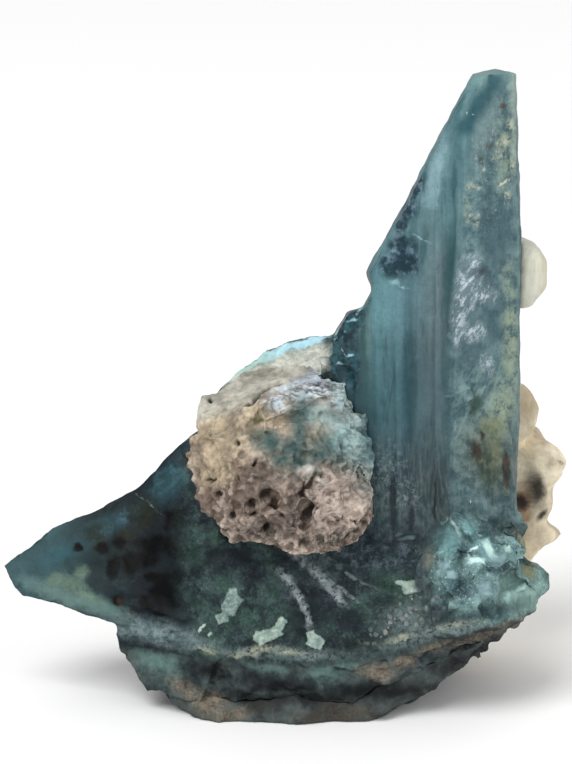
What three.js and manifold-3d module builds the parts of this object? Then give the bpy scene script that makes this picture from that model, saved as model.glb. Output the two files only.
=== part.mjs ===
// A hand-sized mineral specimen: a cluster of blue-green grandidierite crystals grown together
// with cream feldspar. A tall striated blade stands at the right, a wing-shaped crystal points
// left, and feldspar shows as a lump on the front, a mass behind and below, and a small crystal
// on the blade's right flank.
//
// Units are millimetres and +Z is up. +X is to the right and +Y is away from the front.
// The cluster rests on the flat broken face of its feldspar base, at Z = 0, and the origin is
// the middle of that level, under the centre of the whole cluster.

import * as THREE from 'three';
import { ConvexGeometry } from 'three/addons/geometries/ConvexGeometry.js';
import { TessellateModifier } from 'three/addons/modifiers/TessellateModifier.js';
import { ImprovedNoise } from 'three/addons/math/ImprovedNoise.js';
import { mergeVertices } from 'three/addons/utils/BufferGeometryUtils.js';
import Module from 'manifold-3d';

const wasm = await Module();
wasm.setup();

// ---------------------------------------------------------------- driving dimensions, mm

const BLADE_TOP = 58.7; // height of the blade's broken tip
const BLADE_RIGHT = 21.4; // the blade's upright right edge
const SHOULDER_TOP = 34.5; // where the blade's slanting left edge begins
const SHOULDER_LEFT = 4.4;
const SLANT_TOP = 57; // where the slanting edge meets the tip
const SLANT_RIGHT = 16.7;
const WING_TIP = -26; // the wing's point
const GAP = 0.3; // between two minerals that touch

const CRYSTAL_FACE = 4.4; // longest triangle edge on the crystals
const BLADE_FACE = 8; // longest triangle edge on the tall blade, whose faces are flat
const LUMP_FACE = 2.75; // longest triangle edge on the front lump of feldspar
const BASE_FACE = 3.5; // longest triangle edge on the feldspar base
const CRYSTAL_ROUGH = 0.32; // how far weathering moves the surface of the crystals
const BLADE_ROUGH = 0.16;
const LUMP_ROUGH = 0.8;
const BASE_ROUGH = 1.1;

// ---------------------------------------------------------------- solids and surfaces

const noise = new ImprovedNoise();
const point = ([x, y, z]) => new THREE.Vector3(x, y, z);

// The corners of an octahedron: adding them to a hull's points grows it evenly.
const SIX_WAYS = [
  [1, 0, 0], [-1, 0, 0], [0, 1, 0], [0, -1, 0], [0, 0, 1], [0, 0, -1],
].map(point);
const GROW_TO_CORNER = 1.5; // an octahedron's corners stand this much further out than its faces

function solidOf(geometry) {
  const bare = new THREE.BufferGeometry().setAttribute('position', geometry.getAttribute('position'));
  if (geometry.index) bare.setIndex(geometry.index);
  const merged = mergeVertices(bare, 1e-4);
  return new wasm.Manifold(new wasm.Mesh({
    numProp: 3,
    vertProperties: new Float32Array(merged.attributes.position.array),
    triVerts: new Uint32Array(merged.index.array),
  }));
}

function geometryOf(solid) {
  const mesh = solid.getMesh();
  const geometry = new THREE.BufferGeometry();
  geometry.setAttribute('position', new THREE.BufferAttribute(mesh.vertProperties, 3));
  geometry.setIndex(new THREE.BufferAttribute(mesh.triVerts, 1));
  return geometry;
}

// A flat-faced body around the given corners, grown on every side by grow.
function hull(corners, grow = 0) {
  const points = corners.map(point);
  if (grow === 0) return solidOf(new ConvexGeometry(points));
  const reach = grow * GROW_TO_CORNER;
  const grown = points.flatMap((p) => SIX_WAYS.map((way) => p.clone().addScaledVector(way, reach)));
  return solidOf(new ConvexGeometry(grown));
}

const join = (solids) => solids.reduce((whole, next) => whole.add(next));

// A smooth push at a place, the same for every solid, so that surfaces which share a place still
// share it afterwards. A coarse wave carries two thirds of it and a fine one the rest.
function pushAt(p, amount, wave) {
  const at = (shift, size) => noise.noise(p.x / size + shift, p.y / size + shift, p.z / size - shift);
  const along = (shift) => 0.68 * at(shift, wave) + 0.32 * at(shift + 7.3, wave * 0.45);
  return new THREE.Vector3(along(11.2), along(31.7), along(53.9)).multiplyScalar(amount * 1.6);
}

// The same solid with its flat faces broken up and worn.
function weathered(solid, longestEdge, amount, wave) {
  const fine = new TessellateModifier(longestEdge, 14).modify(geometryOf(solid).toNonIndexed());
  const position = fine.getAttribute('position');
  const p = new THREE.Vector3();
  for (let i = 0; i < position.count; i++) {
    p.fromBufferAttribute(position, i);
    p.add(pushAt(p, amount, wave));
    position.setXYZ(i, p.x, p.y, p.z);
  }
  return solidOf(fine);
}

// A rounded lump or, taken away, a pit: a ball stretched to its radii and worn.
function lump(centre, radii, { detail = 3, amount = 0.3, wave = 3, grow = 0 } = {}) {
  const ball = new THREE.IcosahedronGeometry(1, detail);
  ball.scale(radii[0] + grow, radii[1] + grow, radii[2] + grow);
  ball.translate(...centre);
  const position = ball.getAttribute('position');
  const p = new THREE.Vector3();
  for (let i = 0; i < position.count; i++) {
    p.fromBufferAttribute(position, i);
    p.add(pushAt(p, amount, wave));
    position.setXYZ(i, p.x, p.y, p.z);
  }
  return solidOf(ball);
}

// A broken-off crystal from foot to tip: five uneven sides and a short edge at the end.
const FIVE_SIDES = [[12, 1], [88, 0.86], [158, 1.06], [222, 0.88], [300, 1]];

function splinter([foot, tip, width, depth], grow = 0) {
  const from = point(foot);
  const along = point(tip).sub(from);
  const side = new THREE.Vector3(0, 1, 0).cross(along).normalize();
  const front = along.clone().cross(side).normalize();
  const place = (share, across, out) => from.clone().addScaledVector(along, share)
    .addScaledVector(side, 0.5 * width * across).addScaledVector(front, 0.5 * depth * out).toArray();
  const ring = (share, scale) => FIVE_SIDES.map(([degrees, reach]) => {
    const turn = THREE.MathUtils.degToRad(degrees);
    return place(share, scale * reach * Math.cos(turn), scale * reach * Math.sin(turn));
  });
  return hull([...ring(0, 1), ...ring(0.6, 0.92), place(1, -0.3, 0.1), place(0.94, 0.35, -0.1)], grow);
}

// ---------------------------------------------------------------- grandidierite

const { mapLinear } = THREE.MathUtils;

// The tall blade's front has a ridge from foot to tip. Left of it is the striated face.
const ridgeX = (z) => mapLinear(z, 10, BLADE_TOP, 15.6, 18.4);
const ridgeY = (z) => mapLinear(z, 10, BLADE_TOP, -9.2, -2.7);
const faceY = (x, z) => ridgeY(z) + 0.12 * (ridgeX(z) - x);
const slantHeight = (x) => mapLinear(x, SHOULDER_LEFT, SLANT_RIGHT, SHOULDER_TOP, SLANT_TOP);

function blade(grow) {
  return hull([
    // the broken tip
    [16.9, -1.8, BLADE_TOP - 0.6], [18.4, -2.7, BLADE_TOP], [20.8, -1.5, BLADE_TOP - 0.2],
    [BLADE_RIGHT - 0.3, 1.4, BLADE_TOP - 0.9], [19.2, 2.6, BLADE_TOP - 0.6], [17, 1.9, BLADE_TOP - 0.9],
    // the slanting edge
    [SLANT_RIGHT, -2.2, SLANT_TOP], [SLANT_RIGHT + 0.1, 2.2, SLANT_TOP - 0.6],
    [SHOULDER_LEFT, -4.5, SHOULDER_TOP], [SHOULDER_LEFT + 0.3, 2.4, SHOULDER_TOP - 1],
    // the front, down to the foot
    [7.6, -7.6, 16], [8, -8.2, 8], [ridgeX(10), ridgeY(10), 10], [16, -9.1, 7],
    [21, -5.6, 10], [BLADE_RIGHT, -2.6, 40],
    // the back
    [21.8, 3.6, 30], [21.6, 5.4, 8], [13.5, 6.4, 34], [13, 8.6, 8], [6, 4.4, 28], [6, 6.6, 8],
  ], grow);
}

// Laths grown along the blade's back: left, right, back and height of each.
const LATHS = [[14.4, 19.8, 7.8, 45], [8.6, 13.6, 8.4, 36.5], [17.4, 21.4, 7, 33]];

function lath([left, right, back, top], grow) {
  const low = 6;
  const lean = 0.06 * (top - low); // how far the back leans in over the height
  return hull([
    [left, 3, low], [left, back - 0.6, low], [right, back, low], [right, 3, low],
    [left + 0.7, 2, top - 3.2], [left + 0.7, back - lean - 0.6, top - 4.4],
    [right - 0.3, back - lean, top - 1.6], [right - 0.3, 2, top],
  ], grow);
}

// Upright ribs of the striated face: middle, width, how far it stands proud, and foot height.
const RIBS = [
  [6.7, 1.3, 0.45, 20], [8.6, 1.5, 0.3, 16], [10.4, 1.6, 0.6, 14], [12.3, 1.3, 0.35, 15],
  [13.9, 1.6, 0.6, 13], [15.6, 1.1, 0.4, 18],
];

function rib([x, width, proud, foot], grow) {
  const top = slantHeight(x) - 1.8;
  const section = (z, share) => [[-0.5, 0.5], [-0.2, -proud], [0.22, -0.75 * proud], [0.5, 0.5]]
    .map(([across, out]) => [x + across * width * share, faceY(x, z) + out, z]);
  return hull([...section(foot, 1), ...section(top - 3, 0.85), ...section(top, 0.3)], grow);
}

function wing(grow) {
  return join([
    hull([
      [WING_TIP, -3, 12.7], [-24.9, -3.9, 11.4], [-24.1, -4, 10.4], [-24.6, -1.6, 11.9],
      [-21.4, -2.6, 16], [-15.4, -1.9, 18.6], [-13.3, -1.6, 19.8], [-20.5, -5, 9.3], [-15.4, -6.4, 8.3],
      [-15.6, -6.6, 10.5], [-8, -8.8, 9], [-20, 2, 11.6], [-16, 4.2, 7.4], [-10, 5, 17], [-8, -2, 19],
    ], grow),
    hull([
      [-14, -1.8, 19.2], [-11.6, -1.4, 21], [-10.5, -1.3, 22.6], [-8.8, -0.6, 24.2], [-14.5, -6, 11],
      [-7, -8.2, 12], [-5, -6, 20], [-14, 3.5, 14.6], [-9, 6.6, 18.4], [-9, 7.6, 9], [-4, 5, 24],
      [-3, -3, 24],
    ], grow),
  ]);
}

// The crystals behind the front lump, rising from the wing to the blade, and the clear lath
// that crowns them.
function shoulder(grow) {
  return join([
    hull([
      [-6, 0.4, 28.7], [-1, 2, 31.4], [5.2, 0.9, 33.4], [6.5, -4, 32.8], [-9, -1, 22.3],
      [-9.5, 5, 15], [-5, 7, 22], [4, 7.4, 27], [8, 7.6, 30], [9, 8, 10], [-6, 8.4, 6],
      [9, -5, 12], [-8, -5, 12],
    ], grow),
    hull([
      [-5.6, 0, 28.4], [-4.6, 0.9, 29.8], [-1.4, 1.7, 32], [0.6, 1.6, 32.6], [5.4, 0.6, 33.8],
      [5, 3.4, 33.2], [-0.5, 4.4, 31.4], [-4.6, 3.2, 28.6], [-3, 0.5, 27], [5, -0.5, 30],
    ], grow),
  ]);
}

function foot(grow) {
  return join([
    hull([
      // the keel, where the front turns under
      [-15.2, -6, 6.4], [-7.8, -9.4, 6.5], [4.2, -12, 5.5], [13.4, -11.4, 7], [21.6, -8.4, 9.6],
      // the front above it
      [-15.4, -6, 8.6], [-9, -7, 15], [0, -8.5, 17.5], [9, -9, 17], [15, -8.6, 17],
      // the back
      [-12, 6, 6], [-8, 9, 9], [8, 9.6, 8], [20, 8, 9], [22.4, 3, 9], [22, 3, 16], [5, 8.6, 18],
      [-8, 7, 16],
      // the underside
      [-12.4, -5, 1.4], [-6, -9.4, 1], [6, -10.6, 1], [16, -8, 2], [20, 0, 5], [10, 7, 1], [-8, 6, 1],
    ], grow),
    // a step at the left, under the wing
    hull([
      [-15.4, -6.2, 7.4], [-15, -6, 5.2], [-12.6, -7.6, 1.6], [-8, -9.8, 1.2], [-6, -10.4, 5.6],
      [-14.6, -1, 4.6], [-10, 2, 2.4], [-8, -2, 8],
    ], grow),
  ]);
}

// The bulge of broken crystals at the right of the foot.
function lobe(grow) {
  return hull([
    [13.2, -10.6, 15.6], [15.9, -10.2, 18.2], [19.2, -9.2, 17.6], [22.4, -6.8, 14.4],
    [24.2, -5.8, 12.6], [24.2, -5.8, 11.2], [21.8, -9.4, 9], [17.1, -12.2, 7.8], [13.4, -12.2, 8.8],
    [15.6, -13, 12.6], [19.8, -11.6, 13.2], [14, -4, 16], [20.8, -3, 13.6], [22.4, -2, 10.4], [14, -5, 8],
  ], grow);
}

// Small broken crystals: foot, tip, width and depth of each.
const SMALL_CRYSTALS = [
  // the peaks along the top of the bulge
  [[15.2, -8.6, 13.6], [15.9, -9.9, 20], 4.2, 3], [[18.3, -8.4, 13], [17.9, -9.3, 19.4], 3.4, 3],
  [[12.9, -9.6, 12], [12.6, -11, 17], 2.8, 2.4], [[20.6, -7.4, 12], [20.3, -8.7, 17.8], 3, 2.6],
  // its front
  [[18.6, -9.6, 10.4], [18.8, -11.6, 15.6], 3.4, 2.6], [[16.2, -10.6, 8], [15.4, -13.1, 12.6], 3.6, 2.4],
  [[21.6, -7.4, 9.6], [22, -9.7, 13.6], 3, 2.2],
  // slender ones side by side above it, on the blade's right face
  [[16.7, -8.6, 14], [17, -7.8, 24.6], 1.7, 1.6], [[18, -8, 15], [18.1, -6.9, 27.4], 1.5, 1.6],
  [[19.3, -7.2, 14], [19.4, -6.1, 25.4], 1.6, 1.6], [[20.5, -6.2, 15], [20.5, -5.2, 28.6], 1.4, 1.6],
  // the dark splinters where the shoulder meets the blade
  [[6.8, -3.6, 31], [5.4, -4.9, 37.2], 2.2, 1.8], [[6.2, -3.8, 29.6], [4.4, -5.4, 35.2], 2.1, 1.7],
  [[5.4, -4.2, 28.6], [3.4, -5.7, 33.6], 2.2, 1.7], [[7.6, -3.8, 33.4], [6.6, -5, 39.8], 1.9, 1.6],
  [[6.4, -2, 29.6], [4, -2.5, 34.9], 2.2, 2],
  // stubs on the back
  [[12, 4, 27], [11, 7.2, 34], 4.6, 3.8], [[6, 5, 24], [4, 8.4, 30.6], 4.4, 3.6],
  [[-6, 5, 16], [-8.4, 8.6, 21.6], 4.6, 3.6], [[-11, 3, 9], [-14, 6.6, 13.4], 4.4, 3.4],
];

// Plates of crystal split flat along the front: middle, half width, half height and lean.
const PLATES = [
  [[-4.9, -9.2, 10.1], 1.3, 1.9, 18], [[-0.9, -10.5, 7.9], 1.9, 1.3, 30], [[3.7, -11.5, 7.3], 1.3, 1.1, -24],
  [[12.2, -10.4, 11.6], 1.6, 1.2, 12], [[-19, -4.4, 11.2], 2.4, 1.2, -18],
];
const PLATE_RIM = [[-1, -0.35], [-0.62, 0.8], [0.3, 1], [1, 0.1], [0.25, -1]];

function plate([[x, y, z], halfWidth, halfHeight, degrees], grow) {
  const lean = THREE.MathUtils.degToRad(degrees);
  const corners = PLATE_RIM.flatMap(([across, up]) => {
    const dx = across * halfWidth * Math.cos(lean) - up * halfHeight * Math.sin(lean);
    const dz = across * halfWidth * Math.sin(lean) + up * halfHeight * Math.cos(lean);
    return [[x + 0.8 * dx, y - 0.3, z + 0.8 * dz], [x + dx, y + 1.6, z + dz]];
  });
  return hull(corners, grow);
}

// Hollows split off the crystals: middle and radii of each.
const CHIPS = [
  [[12.2, -7.2, 46.4], [1.8, 2.3, 2.5]], [[9.8, -7.7, 42.2], [2.3, 2.2, 2.9]],
  [[15.5, -5.8, 54], [1.3, 2.3, 2.6]], [[19.3, -7, 33.5], [2.2, 1.5, 3.4]],
  [[18, -6.2, 43], [1.2, 1.2, 2]], [[8.5, 9.6, 38], [3.4, 3.4, 6]],
];

// The room the crystals fill in the feldspar: a wavy floor that rises to the right and a wavy
// back wall. The crystals are trimmed to it, and the feldspar lies outside it.
function crystalRoom() {
  const room = hull([
    [-34, -22, 1.8], [6, -22, 1.8], [30, -22, 12.6], [-34, 8.8, 1.8], [6, 8.8, 1.8], [30, 8.4, 12.6],
    [-34, -22, 66], [30, -22, 66], [-34, 5, 66], [30, 5, 66],
  ]);
  return weathered(room, 6, 1.1, 6);
}

function grandidierite(room, grow = 0) {
  const shaft = weathered(blade(grow), BLADE_FACE, BLADE_ROUGH, 5);
  const low = join([wing(grow), shoulder(grow), foot(grow), lobe(grow)]);
  const grown = join([
    shaft,
    weathered(low, CRYSTAL_FACE, CRYSTAL_ROUGH, 4.5),
    ...LATHS.map((one) => lath(one, grow)),
    ...RIBS.map((one) => rib(one, grow)),
    ...SMALL_CRYSTALS.map((one) => splinter(one, grow)),
    ...PLATES.map((one) => plate(one, grow)),
  ]);
  const chipShape = { detail: 1, amount: 0.3, wave: 2, grow: -grow };
  const chips = CHIPS.map(([centre, radii]) => lump(centre, radii, chipShape));
  return chips.reduce((left, chip) => left.subtract(chip), grown).intersect(room);
}

// ---------------------------------------------------------------- feldspar

const largest = (solid) => solid.decompose().sort((a, b) => b.volume() - a.volume())[0];

// Pits in the front lump: middle and radii of each.
const PITS = [
  [[-1.3, -15, 22.2], [1, 1.6, 1.3]], [[-2.9, -14.6, 21.3], [0.9, 1.4, 0.9]],
  [[-6.9, -12.6, 24.4], [0.5, 1, 0.5]], [[-2.4, -12.4, 28.4], [0.8, 1.4, 1.3]],
  [[1.9, -14.6, 20.6], [0.6, 1.9, 2.4]], [[4.4, -15, 17.6], [1.6, 1, 0.6]],
];

function frontLump(crystals) {
  const main = hull([
    [-8.9, -8.6, 26.2], [-8.7, -9.6, 22.8], [-7.3, -11, 20.2], [-4.5, -11.8, 17.7], [0.6, -12.4, 16.8],
    [6, -12.6, 17.2], [8.2, -11.4, 21], [8, -8, 25], [7.6, -6, 28.4],
    [-4, -14, 24.6], [0, -14.4, 22.4], [3, -14, 19.6], [-5.2, -13.2, 20.6], [-5.4, -11.6, 27.4],
    [1.2, -11.6, 28.8],
    [-7, -2, 24], [7, -2, 24], [-5, -3, 18], [6, -3, 18],
  ]);
  // the smooth slab along the top, which overhangs the rest a little
  const slab = hull([
    [-8.3, -8, 26.4], [-7.9, -5.6, 29.2], [-6.2, -5.2, 30.4], [-3.8, -2.2, 31.1], [1.5, -2.6, 31.8],
    [5.6, -3.6, 31.6], [-6.4, -11.2, 27.2], [-3.2, -11.8, 28.9], [1.2, -10.6, 30.3], [5.8, -8.6, 30.4],
    [-5, -10.4, 25.8], [6, -8, 27], [-4, -2, 25], [5, -2, 25],
  ]);
  const knob = lump([4.9, -12, 20.4], [3.6, 3.1, 4], { detail: 2, amount: 1.3, wave: 1.9 });
  const worn = weathered(join([main, slab, knob]), LUMP_FACE, LUMP_ROUGH, 2.6);
  const crack = hull([
    [-3.4, -13, 29], [-2.4, -9.8, 30.1], [0, -8.6, 30.6], [1.6, -9.6, 30.9], [0.4, -13, 30.1],
    [-1.4, -9.2, 28.8], [0.8, -8.2, 29.9],
  ]);
  const pits = PITS.map(([centre, radii]) => lump(centre, radii, { detail: 1, amount: 0.3, wave: 1 }));
  return largest([crack, ...pits, crystals].reduce((left, taken) => left.subtract(taken), worn));
}

// Bulges of the feldspar mass that show past the blade's foot, at the right and behind.
const REAR_BULGES = [
  [[20.8, 9.4, 24.2], [3.4, 3.6, 3.6]], [[21.8, 10.2, 18.8], [4.2, 4.6, 3.7]],
  [[21.5, 10, 11.2], [4.1, 4, 3.6]], [[14, 11, 19], [5, 4.4, 6.4]],
  [[5.6, 10.6, 10.6], [7, 4, 5]], [[13.4, 12, 8.4], [5, 3.6, 4.6]],
];

// The outline of the broken face the cluster rests on.
const REST_OUTLINE = [
  [-9.4, -3.4], [-7.6, -8.8], [-4.2, -9.8], [3.9, -10.4], [7.2, -9.4], [10.2, -3], [13, 4],
  [13.6, 10], [2, 11], [-8.2, 7.6],
];

function feldsparBase(room) {
  const depth = 1.6; // how far the uncut foot reaches below the resting face
  const under = hull([
    ...REST_OUTLINE.map(([x, y]) => [x, y, -depth]),
    [-12, -6.2, 2.2], [-8.6, -9.8, 2.4], [-1, -10.6, 2.2], [4.4, -11, 2.8], [9, -10.8, 3.6], [-12.4, 0, 3],
    [16.8, -8.2, 5.6], [20.8, -5, 7.4], [20, 8, 6], [15.4, 12.8, 5], [2, 12.6, 5], [-9.4, 9.6, 4],
  ]);
  // the ridge under the bulge
  const ledge = hull([
    [10.6, -11.3, 5.6], [13.6, -11.8, 6.4], [21.2, -9, 9.2], [22.6, -5.6, 10], [22.6, 4, 12], [10, -10.4, 4],
    [17, -8.8, 5.8], [21.2, -5.4, 7.8], [22, 4, 7.6], [12, 2, 2.4], [12, 4, 7],
  ]);
  const behind = hull([
    [21.6, 8.8, 26.4], [18, 10, 26.6], [23.6, 10, 23], [24.4, 10.6, 18], [24, 9.6, 10], [22, 7, 5],
    [12, 9, 24], [4, 10, 15], [-6, 9.6, 6], [21, 12.6, 20], [14, 12.6, 18], [20, 12.6, 8], [8, 12.4, 8],
    [18, 11.8, 3], [0, 12, 3], [14, 5, 20], [20, 4, 12],
  ]);
  const bulgeShape = { detail: 1, amount: 1.4, wave: 4 };
  const bulges = REAR_BULGES.map(([centre, radii]) => lump(centre, radii, bulgeShape));
  const worn = weathered(join([under, ledge, behind, ...bulges]), BASE_FACE, BASE_ROUGH, 4);
  const side = 80; // of the block that cuts the resting face flat
  const ground = solidOf(new THREE.BoxGeometry(side, side, side).translate(0, 0, -side / 2));
  const stain = lump([25, 8.4, 17.4], [1, 1.2, 1.6], { detail: 1, amount: 0.3, wave: 1 });
  return largest(worn.subtract(ground).subtract(stain).subtract(room));
}

// The small pale crystal on the blade's right flank: a rounded upright tab.
function sideCrystal(crystals) {
  const outline = [[0, 0.4], [0.6, 1.1], [1, 2.8], [1, 5], [0.8, 6.3], [0, 7.3]];
  const faces = [-1, 1].flatMap((way) => outline.map(([out, up]) => [
    20.6 + out * (way > 0 ? 2.6 : 3.2), 2.4 + way * (1.3 + 0.9 * out), 35.2 + up,
  ]));
  const edge = outline.map(([out, up]) => [20.6 + out * 3.4, 2.3, 35.2 + up]);
  const tab = hull([...faces, ...edge, [20.4, -0.6, 38], [20.4, 5.4, 38], [20.4, -0.4, 41], [20.4, 5, 41]]);
  return largest(weathered(tab, 2, 0.16, 2).subtract(crystals));
}

// ---------------------------------------------------------------- the cluster

function mesh(name, solid, color, roughness) {
  const material = new THREE.MeshStandardMaterial({ color, roughness, metalness: 0, flatShading: true });
  const made = new THREE.Mesh(geometryOf(solid), material);
  made.name = name;
  return made;
}

const room = crystalRoom();
const roomAndGap = room.translate([0, GAP, -GAP]);
const crystalsAndGap = grandidierite(roomAndGap, GAP);

const cluster = new THREE.Group();
cluster.add(
  mesh('grandidierite_crystals', grandidierite(room), 0x4f7178, 0.42),
  mesh('front_feldspar_lump', frontLump(crystalsAndGap), 0xa89882, 0.8),
  mesh('feldspar_base', feldsparBase(roomAndGap), 0xb5a88e, 0.8),
  mesh('side_crystal', sideCrystal(crystalsAndGap), 0xc3c5b4, 0.5),
);

// The origin goes under the middle of the cluster.
const middle = new THREE.Box3().setFromObject(cluster).getCenter(new THREE.Vector3());
cluster.position.set(-middle.x, -middle.y, 0);

export default cluster;
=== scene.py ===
"""A grandidierite cluster on its feldspar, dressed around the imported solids.

Each mineral starts as a copy of its solid. Geometry Nodes stand broken grains and crystals on
it, a remesh fuses them to it in fine cells, and a second tree gives it relief: striations on the
tall blade, broken facets on the foot, grains and pits on the feldspar. Procedural materials
colour it. Lengths in the trees are in millimetres, and the finished meshes are in metres.
"""

import math

import bmesh
import bpy
from bpy.props import FloatProperty, FloatVectorProperty, PointerProperty
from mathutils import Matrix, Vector


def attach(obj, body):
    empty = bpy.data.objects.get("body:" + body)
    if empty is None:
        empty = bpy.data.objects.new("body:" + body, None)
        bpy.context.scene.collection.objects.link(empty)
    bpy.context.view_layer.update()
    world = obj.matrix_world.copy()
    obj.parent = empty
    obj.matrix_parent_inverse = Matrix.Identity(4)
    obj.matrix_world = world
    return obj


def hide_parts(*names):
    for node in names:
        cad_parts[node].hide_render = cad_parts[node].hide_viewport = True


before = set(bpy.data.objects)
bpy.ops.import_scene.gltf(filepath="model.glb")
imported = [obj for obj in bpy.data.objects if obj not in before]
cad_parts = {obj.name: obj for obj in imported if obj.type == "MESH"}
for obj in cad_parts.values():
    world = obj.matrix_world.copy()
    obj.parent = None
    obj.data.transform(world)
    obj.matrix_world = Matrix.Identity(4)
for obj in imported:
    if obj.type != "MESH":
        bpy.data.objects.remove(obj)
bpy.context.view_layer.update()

bl_info = {
    "name": "Grandidierite cluster",
    "version": (1, 0, 0),
    "blender": (4, 5, 0),
    "location": "3D View > Sidebar > Mineral",
    "description": "Grows the surfaces of a grandidierite cluster on its feldspar",
    "category": "Add Mesh",
}

MM = 0.001
BODY = "root"

# The cluster is seen from the front, looking down by this angle. A place on the front is given
# on a plane square to that line: across, and up the plane, in millimetres from the origin.
LOOK_DOWN = math.radians(15)

# A surface counts as the front where its normal's Y falls from the first value to the second.
NOT_FRONT, FRONT = 0.25, -0.15


def tone(red, green, blue):
    """A linear colour from the usual 0 to 255 screen values."""
    def linear(value):
        share = value / 255
        return share / 12.92 if share <= 0.04045 else ((share + 0.055) / 1.055) ** 2.4
    return (linear(red), linear(green), linear(blue), 1.0)


# ------------------------------------------------------------------ what a user may change


def length(name, description, default):
    return FloatProperty(
        name=name, description=description, default=default, min=0.0, unit="LENGTH", precision=5
    )


def colour(name, description, red, green, blue):
    return FloatVectorProperty(
        name=name, description=description, default=tone(red, green, blue),
        size=4, min=0.0, max=1.0, subtype="COLOR",
    )


class ClusterSizes(bpy.types.PropertyGroup):
    """Sizes of the surface relief."""

    crystal_cell: length("Crystal cell", "Mesh cell on the crystals", 0.00018)
    lump_cell: length("Lump cell", "Mesh cell on the front lump", 0.000125)
    base_cell: length("Base cell", "Mesh cell on the feldspar base", 0.00020)
    side_cell: length("Side crystal cell", "Mesh cell on the pale side crystal", 0.00008)
    striation: length("Striation", "Depth of the blade's upright striations", 0.00022)
    fracture: length("Fracture", "Depth of the broken facets on the other crystals", 0.0005)
    grain: length("Grain", "Depth of the feldspar's grains", 0.00045)
    seat: length("Seat", "How far feldspar is pressed into the crystals it grew against", 0.00042)
    wear: FloatProperty(
        name="Wear", description="How far sharp points are worn down", default=0.8,
        min=0.0, max=1.0, subtype="FACTOR",
    )


class ClusterColours(bpy.types.PropertyGroup):
    """Main colours of the minerals."""

    deep_teal: colour("Deep teal", "Crystal where it is clear and dark", 38, 62, 70)
    pale_teal: colour("Pale teal", "Crystal where it is fibrous", 128, 154, 158)


# ------------------------------------------------------------------ node trees as expressions


class Wire:
    """One output of a node. Arithmetic on it adds Math nodes to its tree."""

    def __init__(self, graph, socket):
        self.graph = graph
        self.socket = socket

    def math(self, operation, *values):
        return self.graph.add("ShaderNodeMath", {"operation": operation}, values)

    def __add__(self, other):
        return self.math("ADD", self, other)

    def __radd__(self, other):
        return self.math("ADD", other, self)

    def __sub__(self, other):
        return self.math("SUBTRACT", self, other)

    def __rsub__(self, other):
        return self.math("SUBTRACT", other, self)

    def __mul__(self, other):
        return self.math("MULTIPLY", self, other)

    def __rmul__(self, other):
        return self.math("MULTIPLY", other, self)

    def __truediv__(self, other):
        return self.math("DIVIDE", self, other)

    def __abs__(self):
        return self.math("ABSOLUTE", self)

    def most(self, other):
        return self.math("MAXIMUM", self, other)

    def least(self, other):
        return self.math("MINIMUM", self, other)

    def rise(self, low, high):
        """0 at low, 1 at high and smooth between them. It falls where low is above high."""
        return self.graph.add(
            "ShaderNodeMapRange", {"interpolation_type": "SMOOTHSTEP"}, (self, low, high, 0.0, 1.0)
        )


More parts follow.
